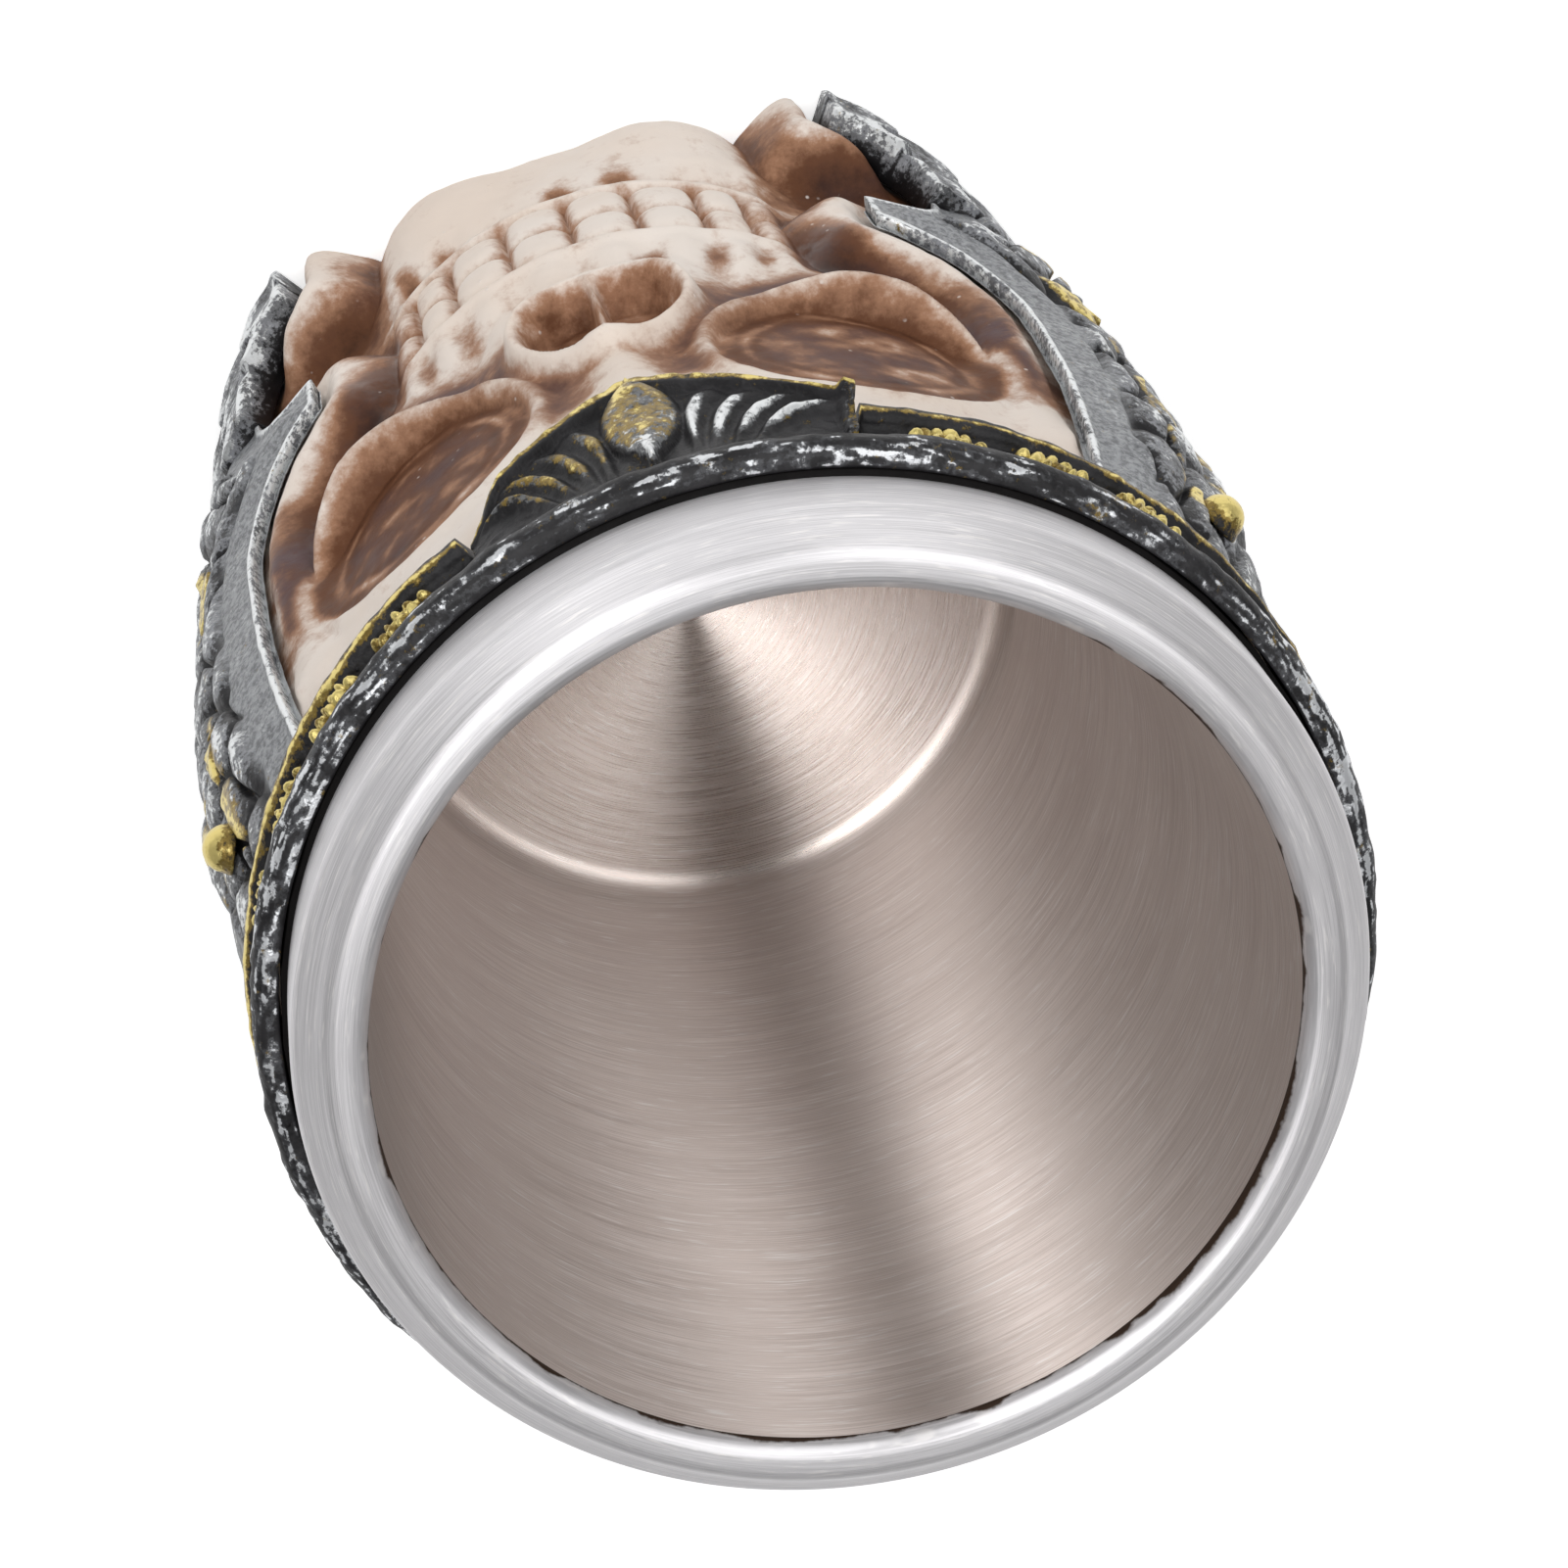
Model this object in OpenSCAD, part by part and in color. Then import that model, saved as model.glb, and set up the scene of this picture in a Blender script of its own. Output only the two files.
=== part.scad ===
// Skull mug: a steel drinking cup set in a cast resin skull that wears an old bronze-age style helmet.
// The face looks along -Y, +Z is up, and the mug stands on the plane z = 0.
// Azimuth a is counted in degrees from the middle of the face towards +X, which is the skull's own left.

/* [Steel cup] */
// Height from the table to the crown of the lip
mug_h = 115; // [110:1:125]
// Inner diameter of the mouth
mouth_d = 74; // [70:0.5:75]
// Outer diameter of the steel rim band
rim_d = 86; // [84:0.5:87]
// Height of steel standing above the resin
rim_stand = 9.5; // [7:0.5:12]
// Rounding of the lip on its outer side
lip_out_r = 3.2; // [1.5:0.1:4]
// Rounding of the lip on its inner side
lip_in_r = 1.5; // [1:0.1:2]
// Height of the drinking floor above the table
cup_floor_z = 9.3; // [7:0.1:14]
// How much the cup's radius shrinks from the lip to the floor
cup_taper = 2; // [0.5:0.1:4]
// Radius of the cove between wall and floor
cove_r = 3; // [1.5:0.1:6]
// Thickness of the steel sheet
steel_t = 0.8; // [0.5:0.1:1.1]

/* [Resin body] */
// Diameter of the resin body under the helmet plates
body_d = 93.6; // [92:0.2:98]
// Thickness of the adhesive around the cup
bond_t = 1.2; // [0.6:0.1:1.5]
// Diameter of the soft pad under the foot
pad_d = 72; // [50:1:80]
// Thickness of the pad
pad_t = 1.6; // [1:0.1:2.5]
// How far the pad stands below the resin
pad_proud = 0.6; // [0.2:0.1:0.9]
// Clearance between pieces that are bonded together
fit_gap = 0.15; // [0.05:0.05:0.3]

/* [Face] */
// Height of the middle of the eye sockets
eye_z = 72; // [68:0.5:75]
// Azimuth of the middle of the eye sockets
eye_az = 27; // [25:0.5:29]
// Width of an eye socket along the skin
eye_w = 26.4; // [22:0.2:28]
// Height of an eye socket
eye_h = 23.6; // [20:0.2:26]
// Depth of an eye socket
socket_depth = 3; // [1:0.1:3.4]
// Height of the middle of the nose opening
nose_z = 61.5; // [59:0.5:63]
// Width of the nose ring, crest to crest
nose_w = 15.6; // [12:0.2:17]
// Height of the nose ring, crest to crest
nose_h = 14; // [11:0.2:15]
// Height of the line where the teeth meet
bite_z = 35; // [33:0.5:36]
// Width of the two front teeth of each side
tooth_w = 6.2; // [5:0.1:6.5]
// Width of the teeth behind them
back_tooth_w = 4.6; // [3.5:0.1:5]
// Height of a tooth's crown
tooth_h = 7.8; // [5:0.1:8.2]
// Number of teeth to each side of the middle
teeth_per_side = 4; // [3:1:4]
// Height of the chin's two knobs
chin_z = 9; // [7:0.5:12]
// How far the chin's knobs stand out from the jaw
chin_out = 1.9; // [0.5:0.1:2.5]
// How far the bone wall behind a cheek guard's free edge stands out from the ground of the face
cheek_wall = 4.9; // [3:0.1:5.4]
// How far the bone wall behind a jaw guard's free edge stands out from the ground of the face
jaw_wall = 7.6; // [4:0.1:8.4]

/* [Helmet] */
// Thickness of the helmet shell
shell_t = 2.3; // [1.5:0.1:3.5]
// How far the free edge of a guard plate lies below the shell
edge_drop = 0.7; // [0.3:0.1:1]
// How far each terrace of a guard plate stands out from the one before
step_rise = 0.8; // [0.3:0.1:1.4]
// Width of a terrace
step_w = 3; // [1.5:0.1:3.4]
// Height of the shoulder, where the helmet draws in towards the band
shoulder_h = 36; // [24:1:40]
// How far the bowl lies below the guards' shell
bowl_drop = 0.8; // [0.2:0.1:1.2]
// How far the rib and the borders of the bowl stand out from the guards' shell
rib_rise = 0.4; // [0.1:0.1:1.2]
// Azimuth that a border of the bowl takes beside the guards
border_az = 12; // [5:0.5:20]
// How far the cast lobes stand out
lobe_out = 1.1; // [0.5:0.1:1.6]
// Radius of the ball that shapes a lobe
lobe_r = 6; // [4:0.2:8]
// Distance from one lobe to the next up a row
lobe_pitch = 9.5; // [8:0.5:12]
// Radius of a jaw guard's outer face
jaw_r = 48.8; // [47:0.2:50]
// How far the middle of that face lies in front of the cup's axis
jaw_shift = 7.5; // [4:0.5:9]
// Azimuth of the middle of the guard plates
guard_az = 46; // [45:0.5:47]
// Radius of the sweep that the cheek guard takes around the eye
sweep_r = 17; // [16:0.2:18]
// Radius of the bite between cheek guard and jaw guard
notch_r = 12; // [9:0.2:12.5]
// Height of the bite between cheek guard and jaw guard
notch_z = 21; // [19:0.5:23]
// Azimuth where the guard plates end and the bowl begins
bowl_az = 62.5; // [60:0.5:66]
// Diameter of the bead studs
stud_d = 4.6; // [2:0.1:6]

/* [Brow band] */
// Height of the brow band
band_h = 9; // [8:0.1:11]
// Diameter over the rim bead of the band
bead_d = 92; // [91:0.2:94]
// Height of the rim bead
bead_h = 3.2; // [2:0.1:4]
// Height of the lower ridge
ridge_h = 2.2; // [1.2:0.1:3]
// Depth of the channel between them
channel_depth = 1.5; // [0.8:0.1:1.7]
// Length of a leaf in the channel
leaf_l = 5.4; // [3:0.1:6]
// Azimuth that the palmette takes to each side of the middle
palm_az = 20; // [16:0.5:22]
// How far the palmette hangs below the band
palm_drop = 10; // [6:0.5:11]
// How far the palmette's lower edge stands out from the brow
palm_out = 3.6; // [1.5:0.1:4.5]

/* [Hidden] */
$fn = 96;

mouth_r = mouth_d / 2;
rim_r = rim_d / 2;
resin_top = mug_h - rim_stand;
seam_z = mug_h - lip_in_r;
bore_r = mouth_r + steel_t + bond_t + 2 * fit_gap;
bore_floor = cup_floor_z - steel_t - bond_t - 2 * fit_gap;
body_r = body_d / 2;
foot_z = pad_proud;
neck_r = rim_r + 0.5;
band_r = neck_r + fit_gap;
band_z = resin_top - band_h;
bead_r = bead_d / 2;
channel_r = bead_r - channel_depth;
shell_r = body_r + fit_gap + shell_t;
brow_r = neck_r + 0.4;
ground_r = neck_r + 0.1;
mm_per_deg = body_r * PI / 180;
back_step = 14;
lobe_root = min(1, shell_t - edge_drop - 0.3);
lobe_top = band_z - 22;
gap = 0.01;

function smooth(a, b, x) = let (t = max(0, min(1, (x - a) / (b - a)))) t * t * (3 - 2 * t);
function dome(d) = d >= 1 ? 0 : pow(1 - d * d, 2);
function crest(d, w) = exp(-pow(d / w, 2));
function polar(r, a, z) = [r * sin(a), -r * cos(a), z];

// Distance of a point in the plane from the stretch between two others
function reach(p, a, b) =
    let (t = max(0, min(1, (p - a) * (b - a) / ((b - a) * (b - a))))) norm(p - a - t * (b - a));

// Guard plates are outlined in a plane square to guard_az: across is the place along that plane
guard_r = shell_r;
guard_tip = guard_r * sin(34 - guard_az);
guard_edge = guard_r * sin(48.3 - guard_az);
sweep_at = [guard_edge - sweep_r, eye_z - 16];
notch_at = [guard_tip - 2.6, notch_z];

// How far a point of the skin lies under the guards' outline; negative in the open face
function under_guard(t, z) =
    let (s = guard_r * sin(t - guard_az),
        from_sweep = z > sweep_at[1] ? s - guard_edge : norm([s, z] - sweep_at) - sweep_r,
        from_notch = norm([s, z] - notch_at) - notch_r)
    t > bowl_az ? shell_r : min(s - guard_tip, from_sweep, from_notch);

// Jaw: the two knobs of the chin on the rounded front of the jaw bone
function jaw(u, z) =
    3.2 * (1 - smooth(15.5, 24, u)) * smooth(-7, 7, z) * (1 - smooth(bite_z - 19, bite_z - 10, z))
    + chin_out * dome(norm([(u - 11.5) / 10, (z - chin_z) / 9.5]));

// Gums: the arch that carries both rows of teeth, and the slope from it up to the nose
function gums(u, z) =
    max((3.6 - 0.0065 * u * u) * (1 - smooth(18, 26, u))
        * smooth(bite_z - 20, bite_z - 10, z) * (1 - smooth(bite_z + 9, bite_z + 20, z)),
        2.1 * (1 - smooth(nose_z - 6, nose_z + 9, z)) * (1 - smooth(6.5, 15, u)) * smooth(bite_z + 4, bite_z + 12, z));

// Place along the row counted in teeth: two broad front teeth, then narrower ones
function tooth_count(u) = u < 2 * tooth_w ? u / tooth_w : 2 + (u - 2 * tooth_w) / back_tooth_w;

// Teeth: two rows of crowns with a groove between each pair and one along the bite, and a gum line along both
function teeth(u, z) =
    let (row = abs(z - bite_z) / tooth_h, n = tooth_count(u), side = abs(sin(180 * n)))
    n > teeth_per_side ? 0
        : row > 1 ? 0.7 * crest((row - 1.12) * tooth_h, 0.9)
        : 1.8 * pow(side, 0.4) * (1 - smooth(0.75, 1, row)) * smooth(0, 0.18, row) - 0.9 * (1 - smooth(0.85, 1, row));

// Nose: a raised ring around two holes with a septum between them, and a bridge up to the brow
function nose(u, z) =
    let (v = (z - nose_z) / (nose_h / 2), d = norm([u / (nose_w / 2 * (1 - 0.1 * v)), v]))
    (1.9 - 0.5 * max(-1.2, min(1.2, v))) * crest(d - 1, 0.24)
    - 3.4 * (1 - smooth(0.4, 0.9, d)) * (1 - crest(u, 1.2))
    + 1.5 * crest(u, 3) * smooth(nose_z + 4, nose_z + 8, z) * (1 - smooth(eye_z + 8, eye_z + 13, z));

// Eye: an oval socket in two steps with a rim that is strongest on its lower and outer side
function eye(u, z) =
    let (x = (u - eye_az * mm_per_deg) / (eye_w / 2), y = (z - eye_z) / (eye_h / 2), d = norm([x, y]))
    2.6 * dome(norm([(u - eye_az * mm_per_deg - 5) / 15, (z - eye_z + eye_h / 2 + 3) / 13])) * smooth(0.9, 1.05, d)
    + 1.7 * crest(d - 1.09, 0.16) * (0.62 - 0.4 * y / max(d, 0.1))
    - socket_depth * (1 - smooth(0.62, 1.02, d))
    - 0.8 * (1 - smooth(0.42, 0.66, d));

// Walls: the bone that climbs to the guards' free edges, with a rounded knob at each tip and a seat under the plates
function walls(t, u, z) =
    let (under = under_guard(t, z), tip = eye_z - 36, seat = body_r - 0.3 - ground_r,
        climb = max(cheek_wall * smooth(notch_z + 5, notch_z + 10, z) * (1 - smooth(2, 7, -under)),
            jaw_wall * (1 - smooth(notch_z - 9, notch_z - 3, z)) * (1 - smooth(2.8, 9, -under)),
            (cheek_wall - 0.9) * (1 - smooth(1.4, 6.6, reach([u, z], [26.2, tip], [32, tip + 3]))),
            (jaw_wall + 0.4) * (1 - smooth(2, 7, reach([u, z], [27, 5], [36, 6])))))
    max(climb > seat ? seat + (climb - seat) * smooth(0.6, 2.8, -under) : climb, seat * smooth(-0.4, 1.6, under));

// Radius of the resin under the helmet, which draws in towards the band
function shoulder_r(z) =
    body_r - (body_r - brow_r) * max(0, min(1, (z - band_z + 0.5 + shoulder_h) / shoulder_h));

// Radius of the skin of the skull
function skin_r(a, z) =
    let (t = abs(a), u = t * mm_per_deg, wall = walls(t, u, z),
        bone = max(jaw(u, z), gums(u, z)) + teeth(u, z) + nose(u, z) + eye(u, z) * (1 - 0.75 * smooth(1, 4, wall)),
        brow = smooth(band_z - 12, band_z - 7, z),
        open = (ground_r + max(bone, wall)) * (1 - brow) + brow_r * brow,
        hidden = under_guard(t, z) > -0.4)
    z > band_z - 0.3 ? neck_r : t > 49 ? shoulder_r(z) : hidden ? min(open, shoulder_r(z)) : open;

// Heights of the rows of skin points: a set number in each zone, closest at the teeth and the nose
function spaced(from, to, count, lean = 1) = [for (i = [0 : count - 1]) from + (to - from) * pow(i / (count - 1), lean)];

skin_z = concat(
    spaced(foot_z, bite_z - tooth_h - 2.2, 14),
    spaced(bite_z - tooth_h - 0.9, bite_z + tooth_h + 1.2, 17),
    spaced(bite_z + tooth_h + 2.8, nose_z - nose_h / 2 - 2.6, 4),
    spaced(nose_z - nose_h / 2 - 1.2, nose_z + nose_h / 2 + 1.6, 14),
    spaced(nose_z + nose_h / 2 + 2.8, band_z - 2.6, 13, 1.2),
    [band_z - 1.2, band_z - 0.31, band_z - 0.29, resin_top]);
half_az = concat([for (a = [0.6 : 1.2 : 26]) a], [for (a = [27.2 : 1.6 : 49.7]) a],
    [for (a = [180 - 8.5 * back_step : back_step : 180]) a]);
skin_az = concat([for (i = [len(half_az) - 1 : -1 : 0]) -half_az[i]], half_az);

// Two triangles for the cell between points p and q and those after them, split along the shorter diagonal
function split_cell(points, p, q) =
    norm(points[p] - points[q + 1]) < norm(points[p + 1] - points[q])
        ? [[p, p + 1, q + 1], [p, q + 1, q]]
        : [[p, p + 1, q], [p + 1, q + 1, q]];

// One closed solid from rings of points, each ring a profile at one azimuth, with both ends on the axis
module ring_solid(rings, low_end, high_end) {
    n = len(rings);
    m = len(rings[0]);
    points = concat([for (ring = rings) each ring], [low_end, high_end]);
    faces = concat(
        [for (i = [0 : n - 1], j = [0 : m - 2]) each split_cell(points, i * m + j, (i + 1) % n * m + j)],
        [for (i = [0 : n - 1]) let (k = (i + 1) % n) [n * m, i * m, k * m]],
        [for (i = [0 : n - 1]) let (k = (i + 1) % n) [n * m + 1, k * m + m - 1, i * m + m - 1]]);
    polyhedron(points, faces, convexity = 10);
}

// One closed solid between two grids of points with the same number of rows and columns
module grid_solid(outer, inner) {
    n = len(outer);
    m = len(outer[0]);
    last = n * m;
    edge = concat([for (j = [0 : m - 1]) j], [for (i = [1 : n - 1]) i * m + m - 1],
        [for (j = [m - 2 : -1 : 0]) (n - 1) * m + j], [for (i = [n - 2 : -1 : 1]) i * m]);
    points = concat([for (row = outer) each row], [for (row = inner) each row]);
    cells = [for (i = [0 : n - 2], j = [0 : m - 2]) i * m + j];
    faces = concat(
        [for (c = cells) [c, c + m + 1, c + 1]], [for (c = cells) [c, c + m, c + m + 1]],
        [for (c = cells) [last + c, last + c + 1, last + c + m + 1]],
        [for (c = cells) [last + c, last + c + m + 1, last + c + m]],
        [for (i = [0 : len(edge) - 1]) let (p = edge[i], q = edge[(i + 1) % len(edge)]) [p, q, q + last]],
        [for (i = [0 : len(edge) - 1]) let (p = edge[i], q = edge[(i + 1) % len(edge)]) [p, q + last, p + last]]);
    polyhedron(points, faces, convexity = 10);
}

// Revolves a profile from one azimuth to another
module sweep(from, to) {
    rotate([0, 0, from - 90])
        rotate_extrude(angle = to - from)
            children();
}

// Raises an outline in the plane square to an azimuth to a prism that runs outwards from the axis
module outward(a, length) {
    rotate([0, 0, a])
        rotate([90, 0, 0])
            linear_extrude(length)
                children();
}

// The space inside the cup, grown on all sides
module cup_space(grow) {
    wall_z = cup_floor_z + cove_r;
    translate([0, 0, wall_z])
        cylinder(h = seam_z - wall_z, r1 = mouth_r - cup_taper + grow, r2 = mouth_r + grow);
    translate([0, 0, cup_floor_z - grow])
        cylinder(h = cove_r + grow, r = mouth_r - cup_taper - cove_r);
    translate([0, 0, wall_z])
        rotate_extrude()
            intersection() {
                translate([mouth_r - cup_taper - cove_r, 0])
                    circle(cove_r + grow);
                translate([mouth_r - cup_taper - cove_r, -cove_r - grow])
                    square(cove_r + grow);
            }
}

// Section of the lip, shrunk on all sides
module lip_section(shrink) {
    low_z = resin_top - (shrink > 0 ? 1 : 0);
    out_at = [rim_r - lip_out_r, mug_h - lip_out_r];
    in_at = [mouth_r + lip_in_r, mug_h - lip_in_r];
    translate([mouth_r + shrink, low_z])
        square([out_at[0] - mouth_r - shrink, in_at[1] - low_z]);
    translate([out_at[0] - gap, low_z])
        square([lip_out_r - shrink + gap, out_at[1] - low_z]);
    translate([in_at[0], in_at[1] - gap])
        square([out_at[0] - in_at[0], lip_in_r - shrink + gap]);
    translate(in_at)
        circle(lip_in_r - shrink);
    translate(out_at)
        circle(lip_out_r - shrink);
}

// Outer line of the helmet in section: nearly upright sides that draw in to a shoulder under the band
function shell_line(out) =
    let (top = band_z - 0.5, side = top - foot_z, top_r = brow_r + 1.2)
    [[shell_r - 0.9 + out, foot_z], [shell_r + out, foot_z + 0.2 * side],
    [shell_r + 0.2 + out, foot_z + 0.45 * side],
    for (k = [0 : 4]) [top_r + (shell_r + out - top_r) * pow(cos(22.5 * k), 2),
        top - shoulder_h + shoulder_h * sin(22.5 * k)]];

// Radius of that line at a height
function shell_at(out, z) = lookup(z, [for (p = shell_line(out)) [p[1], p[0]]]);

// Section of a helmet shell that stands out from the bowl
module shell_section(out) {
    polygon(concat(
        [[body_r + fit_gap, foot_z]],
        shell_line(out),
        [[brow_r + fit_gap, band_z - 0.5], [body_r + fit_gap, band_z - 0.5 - shoulder_h]]));
}

// A row of cast lobes up the helmet at one azimuth, each the cap of a ball that is rooted in the shell
module lobe_row(a, out, from) {
    for (z = [from : lobe_pitch : lobe_top])
        rotate([0, 0, a])
            translate([0, lobe_r - lobe_out - shell_at(out, z), z])
                intersection() {
                    sphere(lobe_r);
                    translate([-lobe_r, -lobe_r, -lobe_r])
                        cube([2 * lobe_r, lobe_out + lobe_root, 2 * lobe_r]);
                }
}

// Outline of the cheek guard, with its free edges moved inwards; it runs on past the shell's back and top
module cheek_outline(inset) {
    difference() {
        translate([guard_tip + inset, notch_z + 0.3 + inset])
            square([2 * shell_r, 2 * mug_h]);
        translate(sweep_at)
            circle(sweep_r + inset);
        translate([guard_tip - 1, sweep_at[1]])
            square([guard_edge - guard_tip + 1 + inset, 2 * mug_h]);
        translate(notch_at)
            circle(notch_r + inset);
    }
}

// Outline of the jaw guard, with its free edges moved inwards; it runs on past the shell's back and foot
module jaw_outline(inset) {
    difference() {
        translate([guard_tip + inset, -mug_h])
            square([2 * shell_r, notch_z - 0.3 - inset + mug_h]);
        translate(notch_at)
            circle(notch_r + inset);
    }
}

// One terrace of a guard plate on the skull's left, cut to an outline
module terrace(out) {
    intersection() {
        sweep(30, bowl_az - 0.4)
            shell_section(out);
        outward(guard_az, 2 * shell_r)
            children();
    }
}

module cheek_guard() {
    for (k = [0 : 2])
        terrace(k * step_rise - edge_drop)
            cheek_outline(k * step_w);
    lobe_row(bowl_az - 6.5, 2 * step_rise - edge_drop, notch_z + 10);
}

// The jaw guard's tip stands out and its back lies close to the bowl, so its face is round about a point off the axis
module jaw_guard() {
    for (k = [0 : 2])
        intersection() {
            translate(polar(jaw_shift, -20, foot_z))
                cylinder(h = notch_z, r = jaw_r - (2 - k) * step_rise);
            sweep(30, bowl_az - 0.4)
                translate([body_r + fit_gap, 0])
                    square([shell_r, notch_z]);
            outward(guard_az, 2 * shell_r)
                jaw_outline(k * step_w);
        }
}

module base_pad() {
    color("dimgray")
        cylinder(h = pad_t, d = pad_d);
}

module skull() {
    pad_seat = [[pad_d / 2 + fit_gap, pad_t + fit_gap], [pad_d / 2 + fit_gap, foot_z]];
    coarse = 1 / cos(back_step / 2);
    bore = [resin_top, bore_floor];
    color("antiquewhite")
        ring_solid(
            [for (a = skin_az) concat(
                [for (p = pad_seat) polar(p[0], a, p[1])],
                [for (z = skin_z) polar(skin_r(a, z), a, z)],
                [for (z = bore) polar(abs(a) > 45 ? bore_r * coarse : bore_r, a, z)])],
            [0, 0, pad_t + fit_gap], [0, 0, bore_floor]);
}

module bond_layer() {
    bed = bore_floor + fit_gap;
    color("khaki")
        difference() {
            translate([0, 0, bed])
                cylinder(h = resin_top - 1 - bed, r = bore_r - 2 * fit_gap);
            cup_space(steel_t + fit_gap);
        }
}

module liner_cup() {
    color("silver")
        difference() {
            cup_space(steel_t);
            cup_space(0);
            translate([0, 0, seam_z - gap])
                cylinder(h = 1, r = mouth_r);
        }
}

module rim_ring() {
    color("gainsboro")
        rotate_extrude()
            difference() {
                lip_section(0);
                lip_section(steel_t);
                translate([mouth_r - 1, resin_top - 1])
                    square([steel_t + 1.5, seam_z - resin_top + 1]);
            }
}

// Section of a rib or border: it starts inside the shell and ends short of the foot and of the band
module rib_section() {
    inner = shell_line(-bowl_drop - 0.5);
    outer = shell_line(rib_rise);
    last = len(outer) - 2;
    polygon(concat([for (i = [1 : last]) outer[i]], [for (i = [last : -1 : 1]) inner[i]]));
}

module helmet_bowl() {
    color("slategray") {
        sweep(bowl_az, 360 - bowl_az)
            shell_section(-bowl_drop);
        sweep(175, 185)
            rib_section();
        for (side = [0, 1])
            mirror([side, 0, 0])
                sweep(bowl_az + 0.6, bowl_az + 0.6 + border_az)
                    rib_section();
    }
}

module cheek_guard_left() {
    color("gray")
        cheek_guard();
}

module cheek_guard_right() {
    color("gray")
        mirror([1, 0, 0])
            cheek_guard();
}

module jaw_guard_left() {
    color("gray")
        jaw_guard();
}

module jaw_guard_right() {
    color("gray")
        mirror([1, 0, 0])
            jaw_guard();
}

// A round edge in the band's section, cut off where it would reach into the skull
module band_edge(edge_r, low_z, height) {
    intersection() {
        union() {
            translate([band_r, low_z])
                square([edge_r - height / 2 - band_r, height]);
            translate([edge_r - height / 2, low_z + height / 2])
                circle(height / 2);
        }
        translate([band_r, low_z])
            square([edge_r, height]);
    }
}

module brow_band() {
    window = 2 * bead_r * tan(palm_az + 0.6);
    color("darkslategray")
        difference() {
            rotate_extrude() {
                band_edge(bead_r, resin_top - bead_h, bead_h);
                translate([band_r, band_z])
                    square([channel_r - band_r, band_h - bead_h / 2]);
                band_edge(bead_r + 0.4, band_z, ridge_h);
            }
            translate([0, 0, band_z - 1])
                linear_extrude(band_h - bead_h + 1)
                    polygon([[0, 0], [-window, -2 * bead_r], [window, -2 * bead_r]]);
        }
}

// One pointed leaf, its tip along +X
module leaf(length, width) {
    r = (length * length + width * width) / (4 * width);
    intersection() {
        translate([0, r - width / 2])
            circle(r);
        translate([0, width / 2 - r])
            circle(r);
    }
}

module band_leaves() {
    free = 360 - 2 * palm_az - 8;
    count = floor(free / 11);
    mid_z = (band_z + ridge_h + resin_top - bead_h) / 2;
    width = (band_h - bead_h - ridge_h - 2 * fit_gap) * 0.6;
    color("goldenrod")
        for (i = [0 : count - 1])
            rotate([0, 0, palm_az + 4 + (i + 0.5) * free / count])
                translate([0, -channel_r - fit_gap, mid_z])
                    rotate([90, i % 2 == 0 ? 18 : -18, 0])
                        linear_extrude(channel_depth - 0.4)
                            leaf(leaf_l, width);
}

module palmette() {
    columns = 28;
    rows = 13;
    top_z = resin_top - bead_h - fit_gap;
    color("olive")
        grid_solid(
            [for (j = [0 : rows]) [for (i = [0 : columns]) palm_point(i / columns * 2 - 1, j / rows, top_z, true)]],
            [for (j = [0 : rows]) [for (i = [0 : columns]) palm_point(i / columns * 2 - 1, j / rows, top_z, false)]]);
}

// A point of the palmette: x runs from -1 to 1 across it and v from 0 at the bead to 1 at its hanging edge
function palm_point(x, v, top_z, front) =
    let (edge_z = band_z - palm_drop + (palm_drop + 2) * pow(abs(x), 1.15),
        z = top_z + (edge_z - top_z) * v,
        fan = x / (0.35 + 0.65 * v),
        tongue = 1.3 * dome(norm([x / 0.2, (v - 0.52) / 0.46])),
        ribs = 0.55 * (0.5 - 0.5 * cos(360 * 3.2 * fan)) * dome((v - 0.55) / 0.5) * smooth(0.18, 0.3, abs(x)),
        rim = 0.9 * smooth(0.84, 0.93, v) + 0.9 * smooth(0.9, 0.97, abs(x)),
        face_r = brow_r + fit_gap + 1.1 + (palm_out - 2) * v * v + max(tongue, ribs, rim))
    polar(front ? face_r : brow_r + fit_gap, x * palm_az, z);

module studs() {
    seat_z = band_z - 10;
    seat_r = shell_at(rib_rise, seat_z - stud_d / 2) + fit_gap;
    color("gold")
        for (side = [-1, 1])
            rotate([0, 0, side * (bowl_az + 2.6)])
                translate([0, -seat_r, seat_z])
                    rotate([90, 0, 0])
                        intersection() {
                            sphere(d = stud_d);
                            translate([0, 0, stud_d / 2])
                                cube(stud_d, center = true);
                        }
}

base_pad();
skull();
bond_layer();
liner_cup();
rim_ring();
helmet_bowl();
cheek_guard_left();
cheek_guard_right();
jaw_guard_left();
jaw_guard_right();
brow_band();
band_leaves();
palmette();
studs();
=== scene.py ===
"""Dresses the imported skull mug: cast bone, painted helmet plates and brushed steel, in plain studio light."""
import math

import bpy
import numpy as np
from mathutils import Matrix, Vector


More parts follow.
